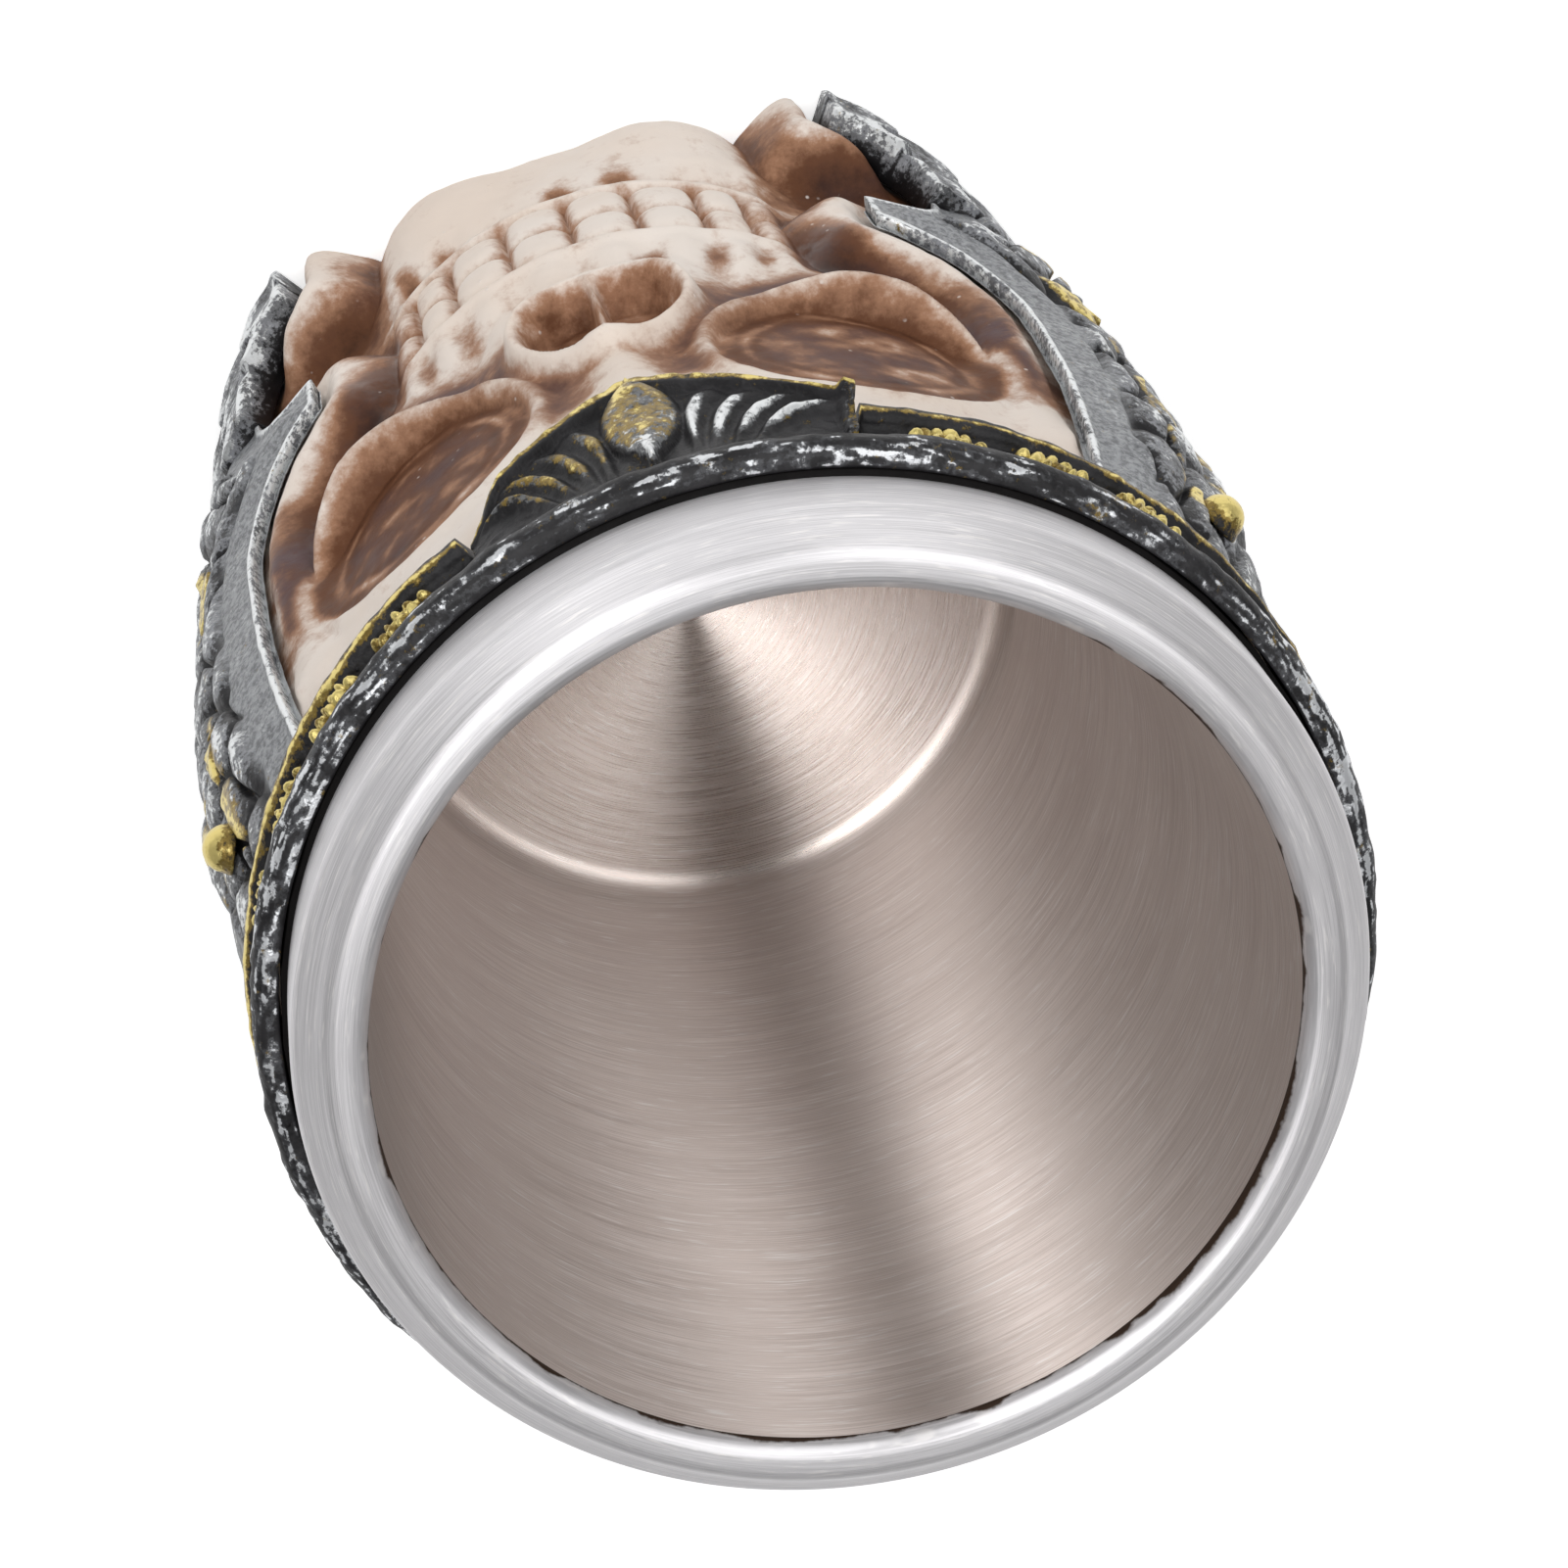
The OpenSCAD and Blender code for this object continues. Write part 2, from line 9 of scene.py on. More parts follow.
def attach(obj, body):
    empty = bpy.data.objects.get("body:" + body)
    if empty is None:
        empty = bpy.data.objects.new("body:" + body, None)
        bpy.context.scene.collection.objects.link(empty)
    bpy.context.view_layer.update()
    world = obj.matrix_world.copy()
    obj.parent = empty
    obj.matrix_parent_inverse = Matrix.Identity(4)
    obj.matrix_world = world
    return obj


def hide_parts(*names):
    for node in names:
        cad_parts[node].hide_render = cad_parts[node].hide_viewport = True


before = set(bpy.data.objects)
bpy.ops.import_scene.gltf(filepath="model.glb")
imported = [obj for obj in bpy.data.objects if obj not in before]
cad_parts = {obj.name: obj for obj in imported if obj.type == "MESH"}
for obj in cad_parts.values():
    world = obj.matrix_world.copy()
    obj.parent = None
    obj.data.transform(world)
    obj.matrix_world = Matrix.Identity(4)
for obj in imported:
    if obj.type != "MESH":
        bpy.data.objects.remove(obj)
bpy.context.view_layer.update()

MM = 0.001

# Sizes of the part in millimetres and degrees
MUG_H = 115.0
MOUTH_R = 37.0
RIM_R = 43.0
RESIN_TOP = 105.5
SEAM_Z = 113.5
LIP_OUT_R = 3.2
LIP_IN_R = 1.5
CUP_FLOOR = 9.3
CUP_TAPER = 2.0
COVE_R = 3.0
STEEL_T = 0.8
BORE_R = 39.3
BORE_FLOOR = 7.0
BODY_R = 46.8
NECK_R = 43.5
BAND_R = 43.65
BAND_Z = 96.5
BROW_R = 43.9
GROUND_R = 43.6
FOOT_Z = 0.6
PAD_R = 36.0
PAD_T = 1.6
FIT_GAP = 0.15
SHELL_R = 49.25
SHOULDER_H = 36.0
BOWL_DROP = 0.8
RIB_RISE = 0.4
BORDER_AZ = 12.0
JAW_R = 48.8
JAW_SHIFT = 7.5
BEAD_R = 46.0
BEAD_H = 3.2
RIDGE_H = 2.2
CHANNEL_R = 44.5
BOWL_AZ = 62.5
PALM_AZ = 20.0
PALM_DROP = 10.0
PALM_OUT = 3.6
MM_PER_DEG = BODY_R * math.pi / 180

EYE_Z = 72.0
EYE_U = 27 * MM_PER_DEG
EYE_W = 26.4
EYE_H = 23.6
NOSE_Z = 61.5
NOSE_W = 15.6
NOSE_H = 14.0
BITE_Z = 35.0
TOOTH_H = 7.8
TOOTH_EDGES = (0.0, 6.2, 12.4, 17.0, 21.6)
CHIN_Z = 9.0

GUARD_AZ = 46.0
GUARD_TIP = SHELL_R * math.sin(math.radians(34 - GUARD_AZ))
GUARD_EDGE = SHELL_R * math.sin(math.radians(48.3 - GUARD_AZ))
SWEEP_R = 17.0
SWEEP_S = GUARD_EDGE - SWEEP_R
SWEEP_Z = EYE_Z - 16
NOTCH_R = 12.0
NOTCH_S = GUARD_TIP - 2.6
NOTCH_Z = 21.0

# Limits of the scene's own relief, and the steps of its meshes
FACE_Y = 48.0
FACE_EASE = 0.4
BOSS = 6.3
LAME = 7.5
STUD_R = 2.05
SPRIG_AZ = 11
SHOULDER_FILLET = 1.5
LIP_ARC = 1.8
GUARD_ROW = 0.35
GUARD_COLUMNS = 110
BOWL_COLUMNS, BOWL_ROWS = 262, 182
PALM_COLUMNS, PALM_ROWS = 190, 100
LATHE_STEPS = 256
MERGE_M = 2e-6

# Whole numbers that scatter the lumps
HASH_STEPS = (374761393, 668265263, 362437)
HASH_MIX = 1274126177
HASH_BITS = 0xFFFFFFFF


# Shapes of one number
def smooth(a, b, x):
    """0 at a and 1 at b, with a soft start and end."""
    t = np.clip((x - a) / (b - a), 0, 1)
    return t * t * (3 - 2 * t)


def dome(d):
    return np.where(d >= 1, 0.0, (1 - np.minimum(d, 1) ** 2) ** 2)


def crest(d, w):
    return np.exp(-(d / w) ** 2)


def toward(field, value, share):
    return field + (value - field) * np.clip(share, 0, 1)


def reach(x, y, ax, ay, bx, by):
    """Distance of points in the plane from the stretch between a and b."""
    t = np.clip(((x - ax) * (bx - ax) + (y - ay) * (by - ay)) / ((bx - ax) ** 2 + (by - ay) ** 2), 0, 1)
    return np.hypot(x - ax - t * (bx - ax), y - ay - t * (by - ay))


def lumps(x, y, z, size, seed):
    """Smooth irregular lumps from -1 to 1, about one size across, the same on each run."""
    places = np.broadcast_arrays(x, y, z)
    total = np.zeros(places[0].shape)
    grid = [np.floor(c / size).astype(np.int64) for c in places]
    part = [c / size - g for c, g in zip(places, grid)]
    part = [p * p * (3 - 2 * p) for p in part]
    for corner in range(8):
        bits = [corner & 1, corner >> 1 & 1, corner >> 2 & 1]
        n = sum((g + b) * step for g, b, step in zip(grid, bits, HASH_STEPS))
        n = (n + seed * HASH_MIX) & HASH_BITS
        n = ((n ^ (n >> 13)) * HASH_MIX) & HASH_BITS
        n = n ^ (n >> 16)
        weight = np.ones_like(total)
        for p, b in zip(part, bits):
            weight = weight * (p if b else 1 - p)
        total += weight * (n / 2147483648.0 - 1)
    return total


def flat_lumps(x, y, size, seed):
    """The same lumps over a flat sheet."""
    return lumps(x, y, y * 0, size, seed)


def chance(x, y, seed):
    """One number from -1 to 1 for a place in a row of copies."""
    return lumps(np.array([x]), np.array([y]), np.array([0.5]), 1.0, seed)[0]


def cells(x, y, size, seed):
    """Distance to the nearest point of a jittered grid and the margin to the next one, in sizes."""
    gx, gy = np.floor(x / size), np.floor(y / size)
    near = np.full(np.broadcast(x, y).shape, 9.0)
    second = near.copy()
    for i in (-1, 0, 1):
        for j in (-1, 0, 1):
            cx, cy = gx + i, gy + j
            ox = 0.5 + 0.38 * flat_lumps(cx, cy, 1.0, seed)
            oy = 0.5 + 0.38 * flat_lumps(cx, cy, 1.0, seed + 1)
            d = np.hypot(x / size - cx - ox, y / size - cy - oy)
            second = np.minimum(second, np.maximum(near, d))
            near = np.minimum(near, d)
    return near, second - near


def bosses(across, arc_mm, z, rough, wander_seed, seed):
    """Close set upright bosses of the cast ornament, each crowned and with a groove round it."""
    wander = 1.3 * flat_lumps(arc_mm, z, 6.0, wander_seed)
    near, margin = cells(1.3 * across + 0.5 * rough, 0.7 * z + wander, BOSS, seed)
    return np.clip(1 - (near / 0.66) ** 2, 0, 1) ** 0.6 * smooth(0.0, 0.16, margin)


def blur(field, steps):
    """Smooths a field over its rows and columns."""
    for _ in range(steps):
        wide = np.pad(field, 1, mode="edge")
        field = (wide[:-2, 1:-1] + wide[2:, 1:-1] + wide[1:-1, :-2] + wide[1:-1, 2:] + 2 * field) / 6
    return field


def plan(r, a):
    """Place seen from above, from radius and azimuth in degrees; azimuth 0 looks along -Y."""
    a = np.radians(a)
    return r * np.sin(a), -r * np.cos(a)


def polar(r, a, z):
    """Points in metres from radius and height in millimetres and azimuth in degrees."""
    x, y = plan(r, a)
    return np.stack(np.broadcast_arrays(x * MM, y * MM, z * MM), axis=-1)


# Mesh steps that all pieces share
def deselect():
    bpy.ops.object.select_all(action="DESELECT")


def edit_all(step):
    """Runs one step in edit mode with the whole active mesh selected."""
    bpy.ops.object.mode_set(mode="EDIT")
    bpy.ops.mesh.select_all(action="SELECT")
    step()
    bpy.ops.object.mode_set(mode="OBJECT")


def merge_points():
    edit_all(lambda: bpy.ops.mesh.remove_doubles(threshold=MERGE_M))


def agree_normals():
    edit_all(lambda: bpy.ops.mesh.normals_make_consistent(inside=False))


def move_points(mesh, points):
    mesh.vertices.foreach_set("co", points.astype(np.float32).ravel())


def paint(mesh, masks):
    """Stores masks on a mesh, one value for each point."""
    for name, values in masks:
        mesh.attributes.new(name, "FLOAT", "POINT").data.foreach_set("value", values.astype(np.float32))


def grid_sheet(name, points, masks=(), closed=False):
    """A grid primitive pulled to rows and columns of points, with one attribute for each mask."""
    rows, columns = points.shape[0] - 1, points.shape[1] - 1
    deselect()
    bpy.ops.mesh.primitive_grid_add(x_subdivisions=columns, y_subdivisions=rows, size=1)
    obj = bpy.context.active_object
    obj.name = obj.data.name = name
    flat = np.empty(len(obj.data.vertices) * 3, np.float32)
    obj.data.vertices.foreach_get("co", flat)
    flat = flat.reshape(-1, 3)
    i = np.rint((flat[:, 0] + 0.5) * columns).astype(int)
    j = np.rint((flat[:, 1] + 0.5) * rows).astype(int)
    move_points(obj.data, points[j, i])
    paint(obj.data, [(key, np.broadcast_to(values, points.shape[:2])[j, i]) for key, values in masks])
    if closed:
        merge_points()
    agree_normals()
    bpy.ops.object.shade_smooth()
    return obj


def face_outwards(obj):
    """Turns an open sheet's faces away from the mug's axis."""
    mesh = obj.data
    middle = np.empty(len(mesh.polygons) * 3, np.float32)
    normal = np.empty(len(mesh.polygons) * 3, np.float32)
    mesh.polygons.foreach_get("center", middle)
    mesh.polygons.foreach_get("normal", normal)
    out = (middle.reshape(-1, 3)[:, :2] * normal.reshape(-1, 3)[:, :2]).sum(axis=1)
    if np.sum(out) < 0:
        edit_all(bpy.ops.mesh.flip_normals)


def thicken(obj, thickness):
    """Gives an open sheet a wall on its inner side."""
    face_outwards(obj)
    wall = obj.modifiers.new("wall", "SOLIDIFY")
    wall.thickness = thickness * MM
    wall.offset = -1
    wall.use_rim = True
    deselect()
    obj.select_set(True)
    bpy.context.view_layer.objects.active = obj
    bpy.ops.object.modifier_apply(modifier="wall")


def lathe(name, profile):
    """Spins a closed profile of radius and height round the mug's axis."""
    deselect()
    bpy.ops.mesh.primitive_circle_add(vertices=len(profile), radius=1)
    obj = bpy.context.active_object
    obj.name = obj.data.name = name
    for vertex, (r, z) in zip(obj.data.vertices, profile):
        vertex.co = (r * MM, 0, z * MM)
    edit_all(lambda: bpy.ops.mesh.spin(
        steps=LATHE_STEPS, angle=2 * math.pi, center=(0, 0, 0), axis=(0, 0, 1), use_auto_merge=True))
    merge_points()
    agree_normals()
    bpy.ops.object.shade_smooth_by_angle(angle=math.radians(40))
    return obj


def arc(cr, cz, radius, start, end, count):
    """Points on a round edge in section, from one angle to another in degrees."""
    return [(cr + radius * math.cos(math.radians(t)), cz + radius * math.sin(math.radians(t)))
            for t in np.linspace(start, end, count)]


def join_all(pieces, name):
    """Makes one smooth piece of several."""
    deselect()
    for piece in pieces:
        piece.select_set(True)
    bpy.context.view_layer.objects.active = pieces[0]
    bpy.ops.object.join()
    obj = bpy.context.active_object
    obj.name = obj.data.name = name
    agree_normals()
    bpy.ops.object.shade_smooth()
    return obj


def settle(obj, node, material):
    """Puts a finished piece in the place of its node."""
    obj.data.materials.clear()
    obj.data.materials.append(material)
    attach(obj, "root")
    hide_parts(node)


# Material nodes; a socket or a node knows the tree that it is in
def tint(code):
    """A colour written as six hex digits, as the shader's linear values."""
    parts = [int(code[k:k + 2], 16) / 255 for k in (0, 2, 4)]
    return tuple(p / 12.92 if p <= 0.04045 else ((p + 0.055) / 1.055) ** 2.4 for p in parts) + (1.0,)


def feed(node, values):
    """Links sockets to a node's inputs, and sets the others from plain values and colour codes."""
    for key, value in values.items():
        if isinstance(value, bpy.types.NodeSocket):
            node.id_data.links.new(value, node.inputs[key])
        else:
            node.inputs[key].default_value = tint(value) if isinstance(value, str) else value
    return node


def put(tree, kind, values=None, **settings):
    """Adds a node: settings are its own properties, values its inputs."""
    made = tree.nodes.new("ShaderNode" + kind)
    for key, value in settings.items():
        setattr(made, key, value)
    return feed(made, values or {})


def calc(operation, a, b=0.0, clamp=False):
    return put(a.id_data, "Math", {0: a, 1: b}, operation=operation, use_clamp=clamp).outputs[0]


def times(a, b, clamp=False):
    return calc("MULTIPLY", a, b, clamp)


def plus(a, b):
    return calc("ADD", a, b)


def minus(a, b):
    return calc("SUBTRACT", a, b)


def swing(value, gain):
    """A noise value as a rise and fall about nothing."""
    return times(minus(value, 0.5), gain)


def blend(share, a, b):
    """Mixes two colours, each a socket or a code."""
    return put(share.id_data, "Mix", {0: share, 6: a, 7: b}, data_type="RGBA").outputs[2]


def ramp(value, low, high, to_low=0.0, to_high=1.0):
    values = {0: value, 1: low, 2: high, 3: to_low, 4: to_high}
    return put(value.id_data, "MapRange", values, interpolation_type="SMOOTHSTEP").outputs[0]


def object_place(tree):
    return put(tree, "TexCoord").outputs["Object"]


def from_axis(tree):
    """Object coordinates, and the distance from the mug's axis."""
    x, y, z = put(tree, "SeparateXYZ", {0: object_place(tree)}).outputs
    return x, y, z, calc("SQRT", plus(times(x, x), times(y, y)))


def grain(tree, scale, detail=4.0, rough=0.55, place=None):
    values = {"Vector": place or object_place(tree), "Scale": scale, "Detail": detail, "Roughness": rough}
    return put(tree, "TexNoise", values).outputs["Fac"]


def mask(tree, name):
    return put(tree, "Attribute", attribute_name=name).outputs["Fac"]


def new_group(name, inputs, outputs):
    """An empty node group with number inputs and outputs; gives the tree and its two ends."""
    tree = bpy.data.node_groups.new(name, "ShaderNodeTree")
    for key, value in inputs:
        socket = tree.interface.new_socket(name=key, in_out="INPUT", socket_type="NodeSocketFloat")
        socket.default_value = value
    for key in outputs:
        tree.interface.new_socket(name=key, in_out="OUTPUT", socket_type="NodeSocketFloat")
    return tree, tree.nodes.new("NodeGroupInput"), tree.nodes.new("NodeGroupOutput")


def dry_brush_group():
    """Paint dragged over relief: a thin broken veil first, then full flecks on what stands highest."""
    tree, ends_in, ends_out = new_group("dry_brush", [("Raised", 0.5), ("Fleck", 900.0)], ["Veil", "Full"])
    coarse = grain(tree, 330.0, 3.0, 0.6)
    fine = grain(tree, ends_in.outputs["Fleck"], 5.0, 0.7)
    uneven = plus(swing(coarse, 1.1), swing(fine, 2.2))
    taken = plus(ends_in.outputs["Raised"], uneven)
    feed(ends_out, {"Veil": ramp(taken, 0.18, 0.5), "Full": ramp(taken, 0.62, 0.9)})
    return tree


def casting_group():
    """Height of the fine pits and pimples of a resin casting, and the sparse dots that the bone paints pale as
    glints.
    """
    tree, ends_in, ends_out = new_group("casting", [("Scale", 700.0)], ["Height", "Glint_Dots"])
    soft = grain(tree, ends_in.outputs["Scale"], 4.0, 0.6)
    dots = put(tree, "TexVoronoi", {"Vector": object_place(tree), "Scale": 620.0}).outputs["Distance"]
    few = ramp(grain(tree, 260.0, 2.0), 0.56, 0.66)
    speck = times(ramp(dots, 0.16, 0.05), few)
    feed(ends_out, {"Height": plus(soft, times(speck, 1.2)), "Glint_Dots": speck})
    return tree


def lathe_lines_group():
    """Fine lines that run round the mug's axis; Slant keeps them apart on walls and floors alike."""
    tree, ends_in, ends_out = new_group(
        "lathe_lines", [("Fineness", 6000.0), ("Length", 3.0), ("Slant", 0.97)], ["Lines", "Broad", "Hairs"])
    x, y, z, r = from_axis(tree)
    safe = calc("MAXIMUM", r, 0.0005)
    across = plus(z, times(r, ends_in.outputs["Slant"]))
    turn = [times(calc("DIVIDE", c, safe), ends_in.outputs["Length"]) for c in (x, y)]

    def drawn(length, fineness, detail, rough):
        stretched = [times(t, length) for t in turn] + [times(across, fineness)]
        place = put(tree, "CombineXYZ", dict(enumerate(stretched))).outputs[0]
        return grain(tree, 1.0, detail, rough, place)

    feed(ends_out, {"Lines": drawn(1.0, ends_in.outputs["Fineness"], 3.0, 0.7),
                    "Broad": drawn(0.35, 420.0, 3.0, 0.6),
                    "Hairs": ramp(drawn(4.0, 4200.0, 2.0, 0.6), 0.56, 0.72)})
    return tree


DRY_BRUSH = dry_brush_group()
CASTING = casting_group()
LATHE_LINES = lathe_lines_group()


def use(tree, group, values):
    return put(tree, "Group", values, node_tree=group).outputs


def new_material(name):
    material = bpy.data.materials.new(name)
    material.use_nodes = True
    tree = material.node_tree
    return material, tree, tree.nodes["Principled BSDF"]


def bump(shader, height, strength, distance):
    made = put(shader.id_data, "Bump", {"Strength": strength, "Distance": distance, "Height": height})
    feed(shader, {"Normal": made.outputs[0]})


def bone_material():
    """Cream resin with a brown wash and painted shade in its hollows and creases, mauve where the wash is thin,
    tiny pale dots painted as glints, and black painted shade on the top in the gap under the rim.
    """
    material, tree, shader = new_material("bone_resin")
    cast = use(tree, CASTING, {"Scale": 520.0})
    cloud = grain(tree, 190.0, 5.0, 0.65)
    blot = grain(tree, 600.0, 4.0, 0.7)
    uneven = plus(swing(cloud, 0.8), swing(blot, 0.7))
    depth = plus(mask(tree, "wash_and_shade"), times(uneven, 0.62))
    colour = blend(ramp(grain(tree, 60.0, 3.0), 0.3, 0.7), "F3E9E0", "EEDFD2")
    for low, high, tone in ((0.07, 0.38, "B1866A"), (0.26, 0.62, "694531"), (0.6, 1.02, "3A2319")):
        colour = blend(ramp(depth, low, high), colour, tone)
    mauve = times(mask(tree, "violet"), ramp(cloud, 0.28, 0.6), clamp=True)
    colour = blend(mauve, colour, "5F4B4C")
    # Painted highlight: the sparse casting dots are painted pale cream as tiny glints
    colour = blend(times(cast["Glint_Dots"], 0.7), colour, "F3E8E0")
    # Painted shade: black on the casting's top in the narrow gap under the rim
    colour = blend(mask(tree, "gap_shade"), colour, blend(blot, "0D0C0C", "1D1B1B"))
    glaze = times(mask(tree, "wet"), ramp(cloud, 0.4, 0.62, 0.0, 0.5))
    feed(shader, {"Base Color": colour, "Roughness": ramp(blot, 0.3, 0.7, 0.62, 0.46),
                  "Coat Weight": glaze, "Coat Roughness": 0.25, "Specular IOR Level": 0.08})
    bump(shader, plus(cast["Height"], times(blot, 0.6)), 0.35, 0.00022)
    return material


def plate_material(name, ground="141315", thin="5C5D5F", veil="77797B", full="DFE1E2"):
    """Black resin with a grey veil and silver flecks, a stippled plain ground and gold touches."""
    material, tree, shader = new_material(name)
    cast = use(tree, CASTING, {"Scale": 900.0})
    silver = use(tree, DRY_BRUSH, {"Raised": mask(tree, "raised"), "Fleck": 1700.0})
    gold = use(tree, DRY_BRUSH, {"Raised": mask(tree, "gold"), "Fleck": 1200.0})
    shade = grain(tree, 240.0, 4.0, 0.6)
    ground_tone = blend(ramp(shade, 0.35, 0.7), ground, "2B2A2C")
    veil_tone = blend(ramp(shade, 0.3, 0.7), thin, veil)
    colour = blend(silver["Veil"], ground_tone, veil_tone)
    colour = blend(silver["Full"], colour, full)
    dots = ramp(grain(tree, 1500.0, 4.0, 0.7), 0.36, 0.62)
    stipple = blend(dots, "66686B", "A3A5A8")
    colour = blend(times(mask(tree, "plain"), 0.85), colour, stipple)
    gold_tone = blend(gold["Full"], "85703A", "DECB80")
    colour = blend(gold["Veil"], colour, gold_tone)
    painted = calc("MAXIMUM", silver["Full"], gold["Veil"])
    feed(shader, {"Base Color": colour, "Metallic": times(painted, 0.6),
                  "Roughness": ramp(painted, 0.0, 1.0, 0.5, 0.36), "Specular IOR Level": 0.3})
    bump(shader, plus(cast["Height"], times(painted, 0.4)), 0.6, 0.0003)
    return material


def seam_dirt(tree, z, r):
    """A brown line that wanders along the seam under the lip, wider in patches."""
    wander = swing(grain(tree, 330.0, 4.0, 0.7), 0.0011)
    off = calc("ABSOLUTE", minus(plus(z, wander), SEAM_Z * MM))
    patch = ramp(grain(tree, 110.0, 3.0, 0.6), 0.42, 0.62, -0.0001, 0.00055)
    line = ramp(minus(off, patch), 0.00042, 0.00008)
    return times(line, ramp(r, 0.0387, 0.0379))


def steel_material(name, tone, light_tone, rough, drawn_out, turned, metal=1.0, dirt=False):
    """Stainless sheet brushed round the mug's axis, smoother on the cup's floor and on the lip."""
    material, tree, shader = new_material(name)
    z, r = from_axis(tree)[2:]
    slant = -0.97 if dirt else 0.97
    lines = use(tree, LATHE_LINES, {"Fineness": 9000.0, "Length": turned, "Slant": slant})
    mixed = plus(times(lines["Lines"], 0.85), times(lines["Broad"], 0.15))
    colour = blend(ramp(mixed, 0.36, 0.64), tone, light_tone)
    colour = blend(times(lines["Hairs"], 0.55), colour, "F6F3F1")
    if dirt:
        colour = blend(seam_dirt(tree, z, r), colour, "4A3A30")
    spread = ramp(z, CUP_FLOOR * MM, (CUP_FLOOR + COVE_R) * MM, rough - 0.22, rough)
    polish = ramp(z, (SEAM_Z + 0.4) * MM, (SEAM_Z + 1.0) * MM, 0.0, 0.1)
    unlike = ramp(mixed, 0.25, 0.75, -0.05, 0.07)
    tangent = put(tree, "Tangent", direction_type="RADIAL", axis="Z").outputs[0]
    feed(shader, {"Base Color": colour, "Roughness": plus(minus(spread, polish), unlike),
                  "Metallic": metal, "Anisotropic": drawn_out, "Anisotropic Rotation": 0.25,
                  "Tangent": tangent})
    bump(shader, lines["Lines"], 0.12, 0.00005)
    return material


def plain_material(name, tone, other, scale, rough):
    """A soft or hidden stuff with a fine uneven grain."""
    material, tree, shader = new_material(name)
    fine = grain(tree, scale, 5.0, 0.65)
    feed(shader, {"Base Color": blend(fine, tone, other),
                  "Roughness": ramp(fine, 0.2, 0.8, rough - 0.08, rough + 0.08)})
    bump(shader, fine, 0.5, 0.0002)
    return material


BONE = bone_material()
PLATE_SILVER = plate_material("antique_silver", veil="93959A")
BAND_BLACK = plate_material("band_black", thin="29292B", veil="4E4F52", full="D4D6D9")
PALMETTE_BLACK = plate_material("palmette_black")
LEAF_GOLD = plate_material("antique_gold", ground="1B1712", veil="6E6A5C", full="D8D2BE")
CUP_STEEL = steel_material("cup_steel", "D3C6BF", "EADFD9", 0.49, 1.0, 2.2)
RIM_STEEL = steel_material("rim_steel", "C8C6C8", "E2E0E2", 0.5, 0.45, 3.0, metal=0.7, dirt=True)
PAD_FOAM = plain_material("pad_foam", "1D1D1D", "333333", 900.0, 0.85)
ADHESIVE = plain_material("adhesive", "C9BA86", "DCCFA0", 300.0, 0.4)


# The skull, unrolled: a is azimuth, u the arc from the middle of the face in millimetres, z height
def under_guard(a, z):
    """How far a point lies under the guards' outline, in millimetres; negative in the open face."""
    t = np.abs(a)
    s = SHELL_R * np.sin(np.radians(t - GUARD_AZ))
    from_sweep = np.where(z > SWEEP_Z, s - GUARD_EDGE, np.hypot(s - SWEEP_S, z - SWEEP_Z) - SWEEP_R)
    from_notch = np.hypot(s - NOTCH_S, z - NOTCH_Z) - NOTCH_R
    depth = np.minimum(np.minimum(s - GUARD_TIP, from_sweep), from_notch)
    return np.where(t > BOWL_AZ, 9.0, depth)


def jaw(u, z):
    """Jaw bone with the two knobs of the chin."""
    bone = 3.2 * (1 - smooth(15.5, 26, u)) * smooth(-7, 7, z) * (1 - smooth(BITE_Z - 19, BITE_Z - 10, z))
    return bone + 1.9 * dome(np.hypot((u - 11.5) / 10, (z - CHIN_Z) / 9.5))


def gums(u, z):
    """The arch that carries the teeth, and the bone between it and the nose."""
    arch = (3.6 - 0.0065 * u * u) * (1 - smooth(17.5, 29, u))
    fold = arch * smooth(BITE_Z - 20, BITE_Z - 10, z) * (1 - smooth(BITE_Z + 9, BITE_Z + 20, z))
    snout = 2.1 * (1 - smooth(NOSE_Z - 6, NOSE_Z + 9, z)) * (1 - smooth(6.5, 15, u))
    return np.maximum(fold, snout * smooth(BITE_Z + 4, BITE_Z + 12, z))


def tooth_place(u, z):
    """Place in a tooth: -1 to 1 across it, and height from the bite in tooth heights."""
    count = np.interp(u, TOOTH_EDGES, range(len(TOOTH_EDGES)), right=len(TOOTH_EDGES) - 0.5)
    return 2 * (count - np.floor(count)) - 1, (z - BITE_Z) / TOOTH_H


def teeth(u, z):
    """Two rows of pillow crowns, gum lines along both and swellings over the roots."""
    x, q = tooth_place(u, z)
    row = np.abs(q)
    fade = smooth(TOOTH_EDGES[-1] + 1, TOOTH_EDGES[-1] - 3, u)
    side = np.clip(1 - np.abs(x) ** 2.8, 0, 1) ** 0.62
    tall = np.clip(1 - np.abs(2 * np.clip(row, 0, 1) - 1) ** 3.2, 0, 1) ** 0.55
    crown = smooth(1.08, 0.97, row) * (1.9 * side * tall - 0.95)
    swell = 0.5 + 0.5 * np.cos(np.pi * x)
    roots = swell * np.where(q > 0, 0.7 * crest(row - 1.65, 0.42), 0.45 * crest(row - 1.8, 0.45))
    edge = 0.65 * crest((q - 1.15) * TOOTH_H, 1.0) + 0.7 * crest((q + 1.13) * TOOTH_H, 0.6)
    return fade * (crown + roots + edge)


def nose_place(u, z):
    """Distance from the middle of the nose, 1 on its ring."""
    v = (z - NOSE_Z) / (NOSE_H / 2)
    return np.hypot(u / (NOSE_W / 2 * (1 - 0.1 * v)), v)


